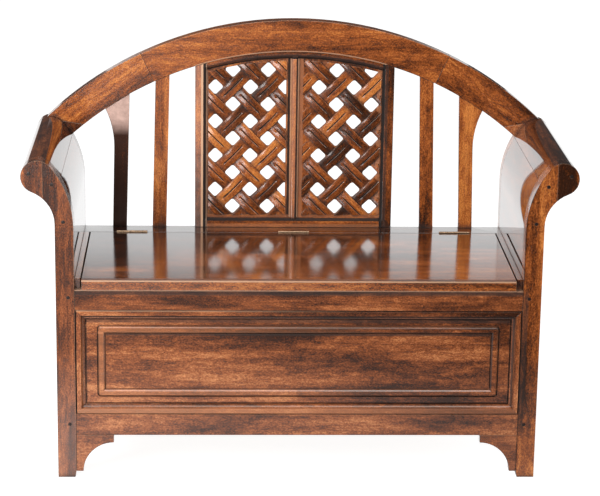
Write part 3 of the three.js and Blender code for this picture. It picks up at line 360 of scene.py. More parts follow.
def blank_material(name):
    """A new material, the maker of its nodes and its main shader."""
    material = bpy.data.materials.new(name)
    material.use_nodes = True
    make = Shader(material.node_tree)
    return material, make, make.tree.nodes["Principled BSDF"]


def object_of(mesh, name, data_name):
    """The object that holds a finished mesh."""
    data = bpy.data.meshes.new(data_name)
    mesh.to_mesh(data)
    mesh.free()
    made = bpy.data.objects.new(name, data)
    bpy.context.scene.collection.objects.link(made)
    return made


def figure_group(name, colours):
    """A node group: colour, roughness and height of wood whose grain runs along X of its vector."""
    tree = bpy.data.node_groups.new(name, "ShaderNodeTree")
    face = tree.interface
    face.new_socket("Vector", in_out="INPUT", socket_type="NodeSocketVector")
    face.new_socket("Tone", in_out="INPUT", socket_type="NodeSocketFloat")
    face.new_socket("Color", in_out="OUTPUT", socket_type="NodeSocketColor")
    face.new_socket("Roughness", in_out="OUTPUT", socket_type="NodeSocketFloat")
    face.new_socket("Height", in_out="OUTPUT", socket_type="NodeSocketFloat")
    make = Shader(tree)
    source = make.add("NodeGroupInput")
    result = make.add("NodeGroupOutput")
    vector = source.outputs["Vector"]

    layers = {}
    share = 0.0
    for layer, (scale, detail, rough, twist, weight) in FIGURE.items():
        layers[layer] = make.noise(make.stretch(vector, scale), 1.0, detail, rough, twist)
        share = make.math("ADD", share, make.math("MULTIPLY", layers[layer], weight))
    share = make.math("ADD", share, source.outputs["Tone"])
    stops = [(place, linear(colour)) for place, colour in zip(FIGURE_STOPS, colours)]
    flecks = make.noise(make.stretch(vector, PORE_SCALE), 1.0, PORE_DETAIL, PORE_ROUGH)
    pore = make.remap(flecks, *PORE_DEPTH)
    colour = make.blend(1.0, make.ramp(share, stops), pore, "MULTIPLY")
    make.join(colour, result.inputs["Color"])
    make.join(make.remap(layers["mottle"], *MOTTLE_ROUGHNESS), result.inputs["Roughness"])
    height = make.math("ADD", pore, make.math("MULTIPLY", layers["lines"], LINE_HEIGHT))
    make.join(height, result.inputs["Height"])
    return tree


STAINED = figure_group("stained_wood", RED_BROWN)
WARM = figure_group("warm_stained_wood", ORANGE_BROWN)
RAW = figure_group("raw_wood", RAW_WOOD)

# The turns that bring a board's grain to X
CREST_SLOPE = math.radians(35)
TURNS = {
    "X": (0.0, 0.0, 0.0),
    "Y": (0.0, 0.0, -math.pi / 2),
    "Z": (0.0, math.pi / 2, 0.0),
    "crest_left": (0.0, CREST_SLOPE, 0.0),
    "crest_right": (0.0, -CREST_SLOPE, 0.0),
}


def paint_shade_and_highlights(make, colour, worn, glazed):
    """Painted shade in corners, painted highlights on edges that face up and to the right, and painted
    shade on edges that face down and to the left and on top faces along their rear edge.
    """
    corner_and_edge_shade = 0.0
    # painted shade in corners, from how closed in each point is
    for reach, full, start, strength in (FINE_CORNERS, WIDE_CORNERS):
        hollow = make.add("ShaderNodeAmbientOcclusion", samples=LOOK_SAMPLES, only_local=False)
        hollow.inputs["Distance"].default_value = reach
        open_share = hollow.outputs["AO"]
        corner_and_edge_shade = make.math("MAXIMUM", corner_and_edge_shade, make.remap(open_share, full, start, strength, 0.0))
    # painted highlights on edges that face up or to the right, where light catches them
    edge = make.add("ShaderNodeBevel", samples=LOOK_SAMPLES)
    edge.inputs["Radius"].default_value = EDGE_REACH
    aside, behind, above = make.split(edge.outputs["Normal"])
    facing = make.remap(behind, *FACING_LEAN)
    pale = make.remap(make.math("MAXIMUM", above, aside), *HIGHLIGHT_LEAN)
    pale = make.math("MULTIPLY", pale, make.math("MULTIPLY", facing, make.remap(open_share, *HIGHLIGHT_OPEN)))
    # faces that look up keep less of the painted corner shade
    corner_and_edge_shade = make.math("MULTIPLY", corner_and_edge_shade, make.remap(above, *UP_LEAN, 1.0, UP_SHADE_SHARE))
    # painted shade on edges that face down or to the left, and on top faces by their rear edge
    dark = make.remap(make.math("MINIMUM", above, aside), *DARK_LEAN)
    dark = make.math("MULTIPLY", dark, facing)
    rear = make.math("MULTIPLY", make.remap(behind, *REAR_LEAN), make.remap(above, *REAR_RISE))
    dark = make.math("MULTIPLY", make.math("MAXIMUM", dark, rear), DARK_SHARE)
    corner_and_edge_shade = make.math("MULTIPLY", make.math("MAXIMUM", corner_and_edge_shade, dark), glazed)
    # the painted highlight, then the painted shade, which also takes the shine
    colour = make.blend(make.math("MULTIPLY", pale, worn), colour, linear(PAINTED_HIGHLIGHT))
    return make.blend(corner_and_edge_shade, colour, linear(PAINTED_SHADE)), make.math("SUBTRACT", 1.0, corner_and_edge_shade)


# Lacquer: rough_share is the wood's own roughness as a share; the last two set how strong the painted
# edge highlights and the painted shade are
Lacquer = namedtuple("Lacquer", "coat coat_rough index ripple rough_share worn glazed")
SATIN = Lacquer(1.0, 0.05, 1.5, 0.06, 1.0, 0.32, 1.0)
PANELLED = Lacquer(1.0, 0.05, 1.5, 0.06, 1.0, 0.1, 0.85)
BEADED = Lacquer(1.0, 0.05, 1.5, 0.06, 1.0, 0.0, 0.45)
WOVEN = Lacquer(0.7, 0.1, 1.5, 0.06, 1.0, 0.3, 0.7)
POLISHED = Lacquer(1.0, 0.02, 1.6, 0.02, 0.2, 0.32, 0.5)
SEAT = Lacquer(1.0, 0.12, 2.1, 0.02, 0.5, 0.32, 0.9)
LEDGE = Lacquer(1.0, 0.1, 2.7, 0.02, 0.5, 0.32, 1.0)
STRIP = Lacquer(1.0, 0.12, 2.1, 0.02, 0.5, 0.2, 0.3)
DULL = Lacquer(0.3, 0.2, 1.3, 0.06, 1.6, 0.2, 1.0)
BARE = Lacquer(0.0, 0.05, 1.5, 0.1, 2.0, 0.0, 1.0)

# Where a board's tone changes along it: axis, from, to, and the tone added at each end
FADES = {
    # On the lid, the fade along Y is painted shade: darker towards the back, where less light falls
    "lid_board": (("Y", -0.24, 0.14, 0.02, -0.06), ("X", -0.5, 0.5, -0.02, 0.02)),
    "front_leg_left": (("Z", 0.0, 0.5, 0.025, -0.015), ("Z", 0.36, 0.48, 0.0, -0.04)),
    "front_leg_right": (("Z", 0.0, 0.2, 0.05, -0.035), ("Z", 0.33, 0.5, 0.0, 0.065)),
    "front_panel": (("X", -0.5, 0.5, 0.002, -0.034),),
    "front_top_rail": (("X", -0.45, 0.0, -0.012, -0.037), ("X", 0.0, 0.45, 0.0, 0.022)),
    "front_bottom_rail": (("X", -0.45, 0.0, -0.005, 0.016), ("X", 0.0, 0.45, 0.0, -0.034)),
    "panel_moulding_top": (("X", -0.2, 0.2, 0.0, -0.07),),
    "inner_slat_left": (("Z", 0.47, 0.58, -0.09, 0.0),),
    "inner_slat_right": (("Z", 0.47, 0.58, -0.07, 0.0),),
    "outer_slat_left": (("Z", 0.47, 0.7, -0.04, 0.0),),
    "outer_slat_right": (("Z", 0.47, 0.56, -0.05, 0.0),),
    "frame_stile_left": (("Z", 0.47, 0.52, -0.05, 0.0),),
}

# Painted lines of shade and of highlights, of light over shaded quirks, and of the lattice rim's brown:
# colour, share, and the lowest and highest place and softness on each axis, where R is the distance from
# the centre line of the arch, and FAR is past the bench's end
FAR = 1.0
RAISED_BAND = (-0.2400, -0.2310, 0.0006)
PANEL_QUIRK = (-0.2296, -0.2260, 0.0003)
LOW_BEAD = (0.1512, 0.1630, 0.0015)
RIM_FACE = (0.2160, 0.2300, 0.0005)
RIM_BASE = (0.4880, 0.4948, 0.0005)
LINES = {
    # painted highlights on the lid's front edges, and painted shade behind the front edge where its
    # reflection ends
    "lid_board": (
        (PAINTED_HIGHLIGHT, 0.8, {"Y": (-0.243, -0.2400, 0.0006), "Z": (0.4612, 0.4640, 0.0005)}),
        (PAINTED_SHADE, 0.35, {"Y": (-0.243, -0.2392, 0.0006), "Z": (0.4645, 0.4662, 0.0003)}),
        (PAINTED_HIGHLIGHT, 0.3, {"Y": (-0.243, -0.2405, 0.0006), "Z": (0.4400, 0.4424, 0.0006)}),
        (PAINTED_SHADE, 0.5, {"Y": (-0.2388, -0.2300, 0.005), "Z": (0.4645, 0.4660, 0.0004)}),
    ),
    # painted shadow of the lid on the rail, and a painted highlight on the rail's top edge
    "front_top_rail": (
        (PAINTED_SHADE, 0.66, {"Z": (0.4330, 0.4390, 0.004)}),
        (PAINTED_HIGHLIGHT, 0.4, {"Z": (0.4398, 0.4430, 0.0006)}),
    ),
    "panel_moulding_top": (
        (PAINTED_HIGHLIGHT, 0.55, {"Z": (0.3925, 0.3960, 0.0006), "X": (-FAR, -0.2, 0.35)}),
    ),
    "panel_moulding_left": (
        (PAINTED_SHADE, 0.9, {"X": (-0.5005, -0.4960, 0.0006)}),
    ),
    "front_panel": (
        (BROWN_HIGHLIGHT, 0.28, {"Y": (-0.2360, -0.2325, 0.0006), "X": (-FAR, -0.35, 0.6)}),
        (PAINTED_SHADE, 0.35, {"Y": RAISED_BAND, "Z": (0.3495, 0.3545, 0.0008), "X": (0.1, FAR, 0.4)}),
        (BROWN_HIGHLIGHT, 0.4, {"Y": RAISED_BAND, "Z": (0.3380, 0.3425, 0.0006), "X": (-FAR, -0.35, 0.6)}),
        (PAINTED_SHADE, 0.55, {"Z": (0.3334, 0.3369, 0.0006), "X": (-0.4300, 0.4300, 0.0006)}),
        (PAINTED_SHADE, 0.42, {"Z": (0.3640, 0.3700, 0.0015)}),
        (PAINTED_LIGHT_BROWN, 0.75, {"Y": PANEL_QUIRK, "Z": (0.3542, 0.3572, 0.0004)}),
        (PAINTED_LIGHT_BROWN, 0.75, {"Y": PANEL_QUIRK, "Z": (0.2052, 0.2080, 0.0004)}),
        (PAINTED_LIGHT_BROWN, 0.75, {"Y": PANEL_QUIRK, "X": (-0.4340, -0.4310, 0.0004)}),
    ),
    "panel_moulding_bottom": (
        (BROWN_HIGHLIGHT, 0.5, {"Z": LOW_BEAD, "X": (-FAR, -0.3, 0.7)}),
        (PAINTED_LIGHT_BROWN, 0.4, {"Z": LOW_BEAD, "X": (0.1, FAR, 0.4)}),
    ),
    "front_leg_right": (
        (PAINTED_SHADE, 0.4, {"X": (0.4980, 0.5100, 0.003), "Z": (0.12, 0.43, 0.02)}),
    ),
    "frame_stile_left": (
        (PAINTED_HIGHLIGHT, 0.9, {"X": (-0.2216, -0.2172, 0.0006)}),
        (PAINTED_SHADE, 0.95, {"X": (-0.2166, -0.2104, 0.0006)}),
        (PAINTED_HIGHLIGHT, 0.6, {"X": (-0.2096, -0.2070, 0.0006)}),
    ),
    "frame_stile_right": (
        (PAINTED_SHADE, 0.95, {"X": (0.2070, 0.2138, 0.0006)}),
        (PAINTED_SHADE, 0.4, {"X": (0.2166, 0.2214, 0.001)}),
    ),
    "frame_muntin": (
        (PAINTED_HIGHLIGHT, 0.4, {"X": (-0.0110, -0.0084, 0.0006)}),
        (BROWN_HIGHLIGHT, 0.2, {"X": (-0.0070, 0.0020, 0.0008)}),
        (PAINTED_SHADE, 0.9, {"X": (0.0036, 0.0070, 0.0006)}),
        (PAINTED_HIGHLIGHT, 0.8, {"X": (0.0078, 0.0110, 0.0006)}),
    ),
    "frame_bottom_rail": (
        (PAINTED_SHADE, 0.95, {"Z": (0.4814, 0.4876, 0.001)}),
        (BROWN_HIGHLIGHT, 0.25, {"Z": (0.4664, 0.4730, 0.002)}),
    ),
    "frame_arch_rail": (
        (PAINTED_SHADE, 0.95, {"R": (0.7700, 0.7768, 0.0006)}),
        (PAINTED_SHADE, 0.8, {"R": (0.7786, 0.7822, 0.0006)}),
        (PAINTED_SHADE, 0.25, {"R": (0.7834, 0.7856, 0.0006)}),
    ),
    "crest_middle": (
        (PAINTED_HIGHLIGHT, 0.45, {"R": (0.7895, 0.7925, 0.0006), "X": (-0.235, 0.215, 0.004)}),
    ),
    "weave_left": (
        (RIM_BROWN, 0.6, {"X": (-0.0204, -0.0100, 0.0003), "Y": RIM_FACE}),
        (PAINTED_SHADE, 0.95, {"X": (-0.0160, -0.0112, 0.0006), "Y": RIM_FACE}),
        (PAINTED_HIGHLIGHT, 0.5, {"X": (-0.2090, -0.2066, 0.0005)}),
        (RIM_BROWN, 0.5, {"Z": RIM_BASE, "Y": RIM_FACE}),
    ),
    "weave_right": (
        (BROWN_HIGHLIGHT, 0.4, {"X": (0.1965, 0.2060, 0.0006), "Y": RIM_FACE}),
        (RIM_BROWN, 0.75, {"X": (0.0100, 0.0204, 0.0008), "Y": RIM_FACE}),
        (RIM_BROWN, 0.5, {"Z": RIM_BASE, "Y": RIM_FACE}),
    ),
}

# Painted sheen, a pale reflection laid into the colour: axis, from, to and the share of sheen there
SHEEN_PAINTS = {
    "outer_slat_left": ("Z", 0.69, 0.73, 0.85),
    "frame_stile_left": ("Z", 0.4, 0.45, 0.22),
    "frame_muntin": ("Z", 0.4, 0.45, 0.12),
    "front_leg_left": ("Z", 0.3, 0.1, 0.1),
}

# Painted shade on a strap's groove and sunk parts, from its mesh: attribute, where it starts and is
# full, and how dark
SHADES = (("groove", 0.03, 0.35, 0.97), ("sunk", 0.55, 1.0, 0.55))


def lined(make, board, parts, colour, shine):
    """Paints a board's lines of shade and highlight over its colour, and takes the shine from those of
    shade.
    """
    across, behind, height = parts
    rise = make.math("SUBTRACT", height, ARCH_CENTRE_Z)
    span = make.math("ADD", make.math("MULTIPLY", across, across), make.math("MULTIPLY", rise, rise))
    places = {"X": across, "Y": behind, "Z": height, "R": make.math("SQRT", span)}
    for paint, share, ranges in LINES[board]:
        mask = share
        for axis, (low, high, soft) in ranges.items():
            above = make.remap(places[axis], low - soft, low)
            below = make.remap(places[axis], high, high + soft, 1.0, 0.0)
            mask = make.math("MULTIPLY", mask, make.math("MULTIPLY", above, below))
        colour = make.blend(mask, colour, linear(paint))
        if paint == PAINTED_SHADE:
            shine = make.math("MULTIPLY", shine, make.math("SUBTRACT", 1.0, mask))
    return colour, shine


def paint_sheen(make, board, vector, parts, colour):
    """Paints a board's sheen, a pale reflection, over its colour."""
    axis, low, high, share = SHEEN_PAINTS[board]
    cloud = make.noise(vector, SHEEN_SCALE, SHEEN_DETAIL)
    cloud = make.remap(cloud, *CLOUD, SHEEN_THIN * share, share)
    cloud = make.math("MULTIPLY", cloud, make.remap(parts[axis], low, high))
    return make.blend(cloud, colour, linear(SHEEN_PAINT))


def shaded(make, colour, shine):
    """Paints shade into the groove and the sunk parts of a strap, and takes their shine."""
    for attribute, low, high, full in SHADES:
        given = make.add("ShaderNodeAttribute", attribute_name=attribute)
        dark = make.remap(given.outputs["Fac"], low, high, 0.0, full)
        colour = make.blend(dark, colour, linear(PAINTED_SHADE))
        shine = make.math("MULTIPLY", shine, make.math("SUBTRACT", 1.0, dark))
    return colour, shine


def lay_lacquer(make, shader, vector, figure, shine, lacquer):
    """Gives a board its roughness, relief and coat. Where the shine is gone, the wood is matt."""
    make.join(make.math("MULTIPLY", shine, lacquer.coat), shader.inputs["Coat Weight"])
    share = make.math("MULTIPLY", shine, lacquer.rough_share)
    rough = make.math("MULTIPLY", figure.outputs["Roughness"], share)
    matt = make.math("MULTIPLY", make.math("SUBTRACT", 1.0, shine), SHADE_MATT_ROUGH)
    make.join(make.math("ADD", rough, matt), shader.inputs["Roughness"])
    relief = make.bump(figure.outputs["Height"], RELIEF_STRENGTH * lacquer.rough_share, RELIEF_DEPTH)
    make.join(relief, shader.inputs["Normal"])
    waves = make.noise(make.stretch(vector, RIPPLE_SCALE), 1.0, RIPPLE_DETAIL)
    make.join(make.bump(waves, lacquer.ripple, RIPPLE_DEPTH), shader.inputs["Coat Normal"])
    shader.inputs["IOR"].default_value = lacquer.index
    shader.inputs["Coat Roughness"].default_value = lacquer.coat_rough
    shader.inputs["Coat IOR"].default_value = lacquer.index


def wood(board, turn, place, tone, group, lacquer, woven=False):
    """Lacquered wood with painted shade and highlights. turn names the way the grain runs, and place
    moves the figure. A woven mesh brings its own grain, tone and the parts where shade is painted."""
    material, make, shader = blank_material(f"wood_{board}")
    vector = make.add("ShaderNodeTexCoord").outputs["Object"]
    parts = make.split(vector)
    if woven:
        vector = make.add("ShaderNodeAttribute", attribute_name="grain").outputs["Vector"]
        shade = make.add("ShaderNodeAttribute", attribute_name="tone")
        tone = make.math("ADD", shade.outputs["Fac"], tone)
    for axis, low, high, low_tone, high_tone in FADES.get(board, ()):
        tone = make.math("ADD", make.remap(parts[axis], low, high, low_tone, high_tone), tone)
    vector = make.stretch(vector, (1, 1, 1), place, TURNS[turn])
    figure = make.add("ShaderNodeGroup", node_tree=group)
    make.join(vector, figure.inputs["Vector"])
    make.feed(figure.inputs["Tone"], tone)
    colour = figure.outputs["Color"]
    # painted sheen, a pale reflection, on boards that have one
    if board in SHEEN_PAINTS:
        colour = paint_sheen(make, board, vector, parts, colour)
    # painted shade in corners and on edges, and painted highlights on edges
    colour, shine = paint_shade_and_highlights(make, colour, lacquer.worn, lacquer.glazed)
    # painted lines of shade and highlight
    if board in LINES:
        colour, shine = lined(make, board, parts, colour, shine)
    # painted shade in a strap's groove and sunk parts
    if woven:
        colour, shine = shaded(make, colour, shine)
    make.join(colour, shader.inputs["Base Color"])
    lay_lacquer(make, shader, vector, figure, shine, lacquer)
    return material


def metal(name, colour):
    """Dull brass with fine scratches and dark tarnish."""
    material, make, shader = blank_material(name)
    vector = make.add("ShaderNodeTexCoord").outputs["Object"]
    tarnish = make.noise(vector, TARNISH_SCALE, TARNISH_DETAIL, TARNISH_ROUGH)
    scratch = make.noise(make.stretch(vector, SCRATCH_SCALE), 1.0, SCRATCH_DETAIL)
    clean = linear(colour)
    stops = zip(TARNISH_STOPS, (darker(clean, TARNISH_SHARE), clean))
    make.join(make.ramp(tarnish, list(stops)), shader.inputs["Base Color"])
    make.join(make.remap(scratch, *SCRATCH_ROUGHNESS), shader.inputs["Roughness"])
    make.join(make.bump(scratch, SCRATCH_STRENGTH, SCRATCH_DEPTH), shader.inputs["Normal"])
    shader.inputs["Metallic"].default_value = 1.0
    return material


def smoothing_group():
    """Geometry nodes that shade round faces smooth and keep real edges sharp."""
    tree = bpy.data.node_groups.new("smooth_round_faces", "GeometryNodeTree")
    tree.interface.new_socket("Geometry", in_out="INPUT", socket_type="NodeSocketGeometry")
    tree.interface.new_socket("Geometry", in_out="OUTPUT", socket_type="NodeSocketGeometry")
    nodes = tree.nodes
    links = tree.links
    source = nodes.new("NodeGroupInput")
    result = nodes.new("NodeGroupOutput")
    plain = nodes.new("GeometryNodeRemoveAttribute")
    plain.inputs["Name"].default_value = "custom_normal"
    faces = nodes.new("GeometryNodeSetShadeSmooth")
    faces.domain = "FACE"
    angle = nodes.new("GeometryNodeInputMeshEdgeAngle")
    small = nodes.new("FunctionNodeCompare")
    small.data_type = "FLOAT"
    small.operation = "LESS_THAN"
    small.inputs[1].default_value = EDGE_ANGLE
    edges = nodes.new("GeometryNodeSetShadeSmooth")
    edges.domain = "EDGE"
    links.new(source.outputs[0], plain.inputs[0])
    links.new(plain.outputs[0], faces.inputs["Geometry"])
    links.new(faces.outputs[0], edges.inputs["Geometry"])
    links.new(angle.outputs["Unsigned Angle"], small.inputs[0])
    links.new(small.outputs[0], edges.inputs["Shade Smooth"])
    links.new(edges.outputs[0], result.inputs[0])
    return tree


SMOOTHING = smoothing_group()


def smooth_faces(piece):
    """Shades the round faces of a piece smooth."""
    smooth = piece.modifiers.new("smooth", "NODES")
    smooth.node_group = SMOOTHING


def soften(piece, width):
    """Joins the facets of a solid into boards with slightly rounded edges."""
    weld = piece.modifiers.new("weld", "WELD")
    weld.merge_threshold = WELD_DISTANCE
    flat = piece.modifiers.new("flat_faces", "DECIMATE")
    flat.decimate_type = "DISSOLVE"
    flat.angle_limit = FLAT_ANGLE
    smooth_faces(piece)
    edge = piece.modifiers.new("edges", "BEVEL")
    edge.width = width
    edge.segments = EDGE_SEGMENTS
    edge.limit_method = "ANGLE"
    edge.angle_limit = EDGE_ANGLE
    edge.use_clamp_overlap = True
    edge.harden_normals = True


def dress(node, material, width):
    """Gives a CAD node its material and soft edges."""
    piece = NODES[node]
    if not piece.material_slots:
        piece.data.materials.append(material)
    for holder in piece.material_slots:
        holder.material = material
    soften(piece, width)


# Each board of stained wood: the way its grain runs and how light it is
BOARDS = {
    "front_leg_left": ("Z", -0.01),
    "front_leg_right": ("Z", -0.015),
    "front_scroll_left": ("Z", 0.005),
    "front_scroll_right": ("Z", -0.095),
    "rear_leg_left": ("Z", -0.02),
    "rear_leg_right": ("Z", 0.0),
    "arm_panel_left": ("Y", -0.02),
    "arm_panel_right": ("Y", -0.02),
    "arm_roll_left": ("Y", -0.045),
    "arm_roll_right": ("Y", -0.045),
    "front_top_rail": ("X", 0.005),
    "front_bottom_rail": ("X", 0.01),
    "corner_bracket_left": ("X", 0.01),
    "corner_bracket_right": ("X", 0.0),
    "front_panel": ("X", 0.0),
    "panel_moulding_top": ("X", 0.0),
    "panel_moulding_bottom": ("X", 0.0),
    "panel_moulding_left": ("Z", 0.0),
    "panel_moulding_right": ("Z", -0.01),
    "side_top_rail_left": ("Y", 0.0),
    "side_top_rail_right": ("Y", 0.0),
    "side_bottom_rail_left": ("Y", 0.0),
    "side_bottom_rail_right": ("Y", 0.0),
    "side_panel_left": ("Y", 0.0),
    "side_panel_right": ("Y", 0.0),
    "back_top_rail": ("X", 0.0),
    "back_bottom_rail": ("X", 0.0),
    "back_panel": ("X", 0.0),
    "seat_ledge": ("X", -0.13),
    "seat_strip_left": ("Y", 0.0),
    "seat_strip_right": ("Y", 0.0),
    "lid_board": ("X", -0.015),
    "crest_middle": ("X", 0.015),
    "crest_left": ("crest_left", 0.022),
    "crest_right": ("crest_right", -0.035),
    "inner_slat_left": ("Z", 0.03),
    "inner_slat_right": ("Z", 0.0),
    "outer_slat_left": ("Z", -0.12),
    "outer_slat_right": ("Z", 0.065),
    "frame_stile_left": ("Z", -0.025),
    "frame_stile_right": ("Z", -0.052),
    "frame_muntin": ("Z", 0.002),
    "frame_bottom_rail": ("X", 0.0),
    "frame_arch_rail": ("X", 0.0),
}

# Boards of bare wood, and the way their grain runs
RAW_BOARDS = {
    "chest_floor": "X",
    "floor_cleat_front": "X",
    "floor_cleat_back": "X",
    "seat_cleat_left": "Y",
    "seat_cleat_right": "Y",
}

# Boards with the more orange stain, by how their names start
WARM_BOARDS = ("lid_", "seat_", "crest_", "inner_slat", "outer_slat", "frame_", "front_leg_right",
               "front_scroll_right")
FIGURE_SPREAD = (0.37, 0.173, 0.291)

# Boards with a finish of their own: how their names start, their lacquer and the rounding of their edges
FINISHES = (
    ("arm_", POLISHED, BOARD_EDGE),
    ("lid_", SEAT, LID_EDGE),
    ("seat_ledge", LEDGE, BOARD_EDGE),
    ("seat_strip", STRIP, BOARD_EDGE),
    ("outer_slat_left", DULL, BOARD_EDGE),
    ("front_panel", PANELLED, FINE_EDGE),
    ("panel_moulding", PANELLED, BOARD_EDGE),
    ("frame_", BEADED, BEAD_EDGE),
)


def finish_of(node):
    """The lacquer of a board and the rounding of its edges."""
    for start, lacquer, width in FINISHES:
        if node.startswith(start):
            return lacquer, width
    return SATIN, BOARD_EDGE


def figure_place(index):
    """Where a board lies in the figure, so that no two boards look alike."""
    return tuple(step * (index + 1) for step in FIGURE_SPREAD)


def dress_boards():
    """Gives every CAD node its wood or brass."""
    for index, (node, (turn, tone)) in enumerate(BOARDS.items()):
        group = WARM if node.startswith(WARM_BOARDS) else STAINED
        lacquer, width = finish_of(node)
        dress(node, wood(node, turn, figure_place(index), tone, group, lacquer), width)
    for index, (node, turn) in enumerate(RAW_BOARDS.items()):
        dress(node, wood(node, turn, figure_place(index), 0.0, RAW, BARE), FINE_EDGE)
    brass = metal("aged_brass", BRASS_COLOUR)
    for node in NODES:
        if node.startswith("hinge_"):
            dress(node, brass, METAL_EDGE)


# Woven lattice

def wave_depth(along):
    """How far behind the weave's front a strap's face lies, from the crossing where it is in front."""
    return WEAVE_RISE * (1 - math.cos(math.pi * along / WEAVE_PITCH)) / 2


def groove_at(along):
    """Depth of the groove at a place along a strap, full over the middle of each raised part."""
    nearest = abs(along - 2 * WEAVE_PITCH * round(along / (2 * WEAVE_PITCH)))
    share = (GROOVE_HALF_LENGTH - nearest) / GROOVE_FADE
    return GROOVE_DEPTH * min(1.0, max(0.0, share))


def strap_section(along):
    """Points across a strap, from one lower edge over the top to the other: (sideways, height)."""
    groove = groove_at(along)
    half = STRAP_HALF
    rounding = STRAP_ROUNDING
    side = [
        (half, -STRAP_THICKNESS),
        (half, -rounding),
        (half - rounding * ROUNDING_MIDDLE, -rounding * ROUNDING_MIDDLE),
        (half - rounding, 0.0),
        (half * CROWN_SIDE_PLACE, STRAP_CROWN * CROWN_SIDE_HEIGHT),
        (GROOVE_HALF_WIDTH * GROOVE_LIP, STRAP_CROWN),
        (GROOVE_HALF_WIDTH, STRAP_CROWN - groove * GROOVE_WALL),
    ]
    middle = [(0.0, STRAP_CROWN - groove)]
    return [(-x, h) for x, h in side] + middle + list(reversed(side))


def band(mesh, first, second):
    """Faces between two rings of vertices."""
    for place in range(len(first)):
        after = (place + 1) % len(first)
        mesh.faces.new((first[place], first[after], second[after], second[place]))


def add_strap(mesh, layers, centre, lean, span, front, tone):
    """A strap at 45 degrees through centre. One that falls is in front there, one that rises behind."""
    over_at = 0.0 if lean < 0 else WEAVE_PITCH
    direction = Vector((1, 0, lean)).normalized()
    across = Vector((-lean, 0, 1)).normalized()
    count = round(2 * span / WEAVE_PITCH * STEPS_PER_CROSSING)
    rows = []
    for step in range(count + 1):
        along = -span + 2 * span * step / count
        depth = wave_depth(along - over_at)
        row = []
        for sideways, height in strap_section(along - over_at):
            point = centre + direction * along + across * sideways
            point.y = min(front + depth - height + STRAP_CROWN, front + LATTICE_THICKNESS)
            vertex = mesh.verts.new(point)
            along_grain = along + tone * GRAIN_SHIFT_ALONG
            across_grain = sideways + tone * GRAIN_SHIFT_ACROSS
            vertex[layers["grain"]] = Vector((along_grain, across_grain, height + tone))
            vertex[layers["tone"]] = tone
            # how deep the groove is and how far the strap sinks, which the material paints as shade
            in_groove = groove_at(along - over_at) / GROOVE_DEPTH
            vertex[layers["groove"]] = in_groove if sideways == 0 else 0.0
            vertex[layers["sunk"]] = depth / WEAVE_RISE
            row.append(vertex)
        rows.append(row)
    width = len(rows[0])
    for low, high in zip(rows, rows[1:]):
        for place in range(width):
            after = (place + 1) % width
            mesh.faces.new((low[place], high[place], high[after], low[after]))
    mesh.faces.new(rows[0])
    mesh.faces.new(list(reversed(rows[-1])))


def opening_outline(near, far, low, radius):
    """Outline of one lattice opening in X and Z, for the right side."""
    start = math.acos(far / radius)
    end = math.acos(near / radius)
    points = [(near, low), (far, low)]
    for step in range(ARCH_STEPS + 1):
        angle = start + (end - start) * step / ARCH_STEPS
        points.append((radius * math.cos(angle), ARCH_CENTRE_Z + radius * math.sin(angle)))
    return points


def clip(mesh, outline):
    """Cuts away everything outside a convex outline in X and Z, and closes the cuts."""
    middle_x = sum(x for x, z in outline) / len(outline)
    middle_z = sum(z for x, z in outline) / len(outline)
    for (x0, z0), (x1, z1) in zip(outline, outline[1:] + outline[:1]):
        outward = Vector((z1 - z0, 0, x0 - x1))
        if outward.dot(Vector((middle_x - x0, 0, middle_z - z0))) > 0:
            outward = -outward
        everything = mesh.verts[:] + mesh.edges[:] + mesh.faces[:]
        bmesh.ops.bisect_plane(
            mesh, geom=everything, plane_co=(x0, 0, z0), plane_no=outward, clear_outer=True
        )
    bmesh.ops.holes_fill(mesh, edges=mesh.edges[:], sides=0)


def fillet(mesh, layers, centre, lean_u, lean_v, front):
    """A small web that rounds one corner of a square hole between the straps."""
    half = WEAVE_PITCH / 2 - STRAP_HALF
    inner = half - FILLET_RADIUS
    outer = half + FILLET_LET_IN
    outline = [(outer, inner)]
    for step in range(FILLET_STEPS + 1):
        angle = math.pi / 2 * step / FILLET_STEPS
        along = inner + FILLET_RADIUS * math.cos(angle)
        across = inner + FILLET_RADIUS * math.sin(angle)
        outline.append((along, across))
    outline += [(inner, outer), (outer, outer)]
    rising = Vector((1, 0, 1)).normalized() * lean_u
    falling = Vector((1, 0, -1)).normalized() * lean_v
    loops = []
    for depth in (FILLET_FRONT, FILLET_BACK):
        loop = []
        for u, v in outline:
            point = centre + rising * u + falling * v
            point.y = front + depth
            vertex = mesh.verts.new(point)
            vertex[layers["grain"]] = point
            vertex[layers["sunk"]] = FILLET_SUNK
            loop.append(vertex)
        loops.append(loop)
    band(mesh, *loops)
    # a fan from the far corner, as the outline is hollow along its arc
    for loop in loops:
        corner = loop[-1]
        for low, high in zip(loop[:-1], loop[1:-1]):
            mesh.faces.new((corner, low, high))


def rim(mesh, layers, outer, inner, front, back):
    """A flat ring between two outlines."""
    loops = []
    for outline, depth in ((outer, front), (inner, front), (inner, back), (outer, back)):
        loop = []
        for x, z in outline:
            vertex = mesh.verts.new((x, depth, z))
            vertex[layers["grain"]] = Vector((z, x, depth))
            vertex[layers["tone"]] = RIM_TONE
            loop.append(vertex)
        loops.append(loop)
    for first, second in zip(loops, loops[1:] + loops[:1]):
        band(mesh, first, second)


def weave_reach(low, high):
    """How many steps from its known hole the weave is laid out, a few more than the panel needs."""
    return int((high - low) / WEAVE_STEP) + WEAVE_SPARE


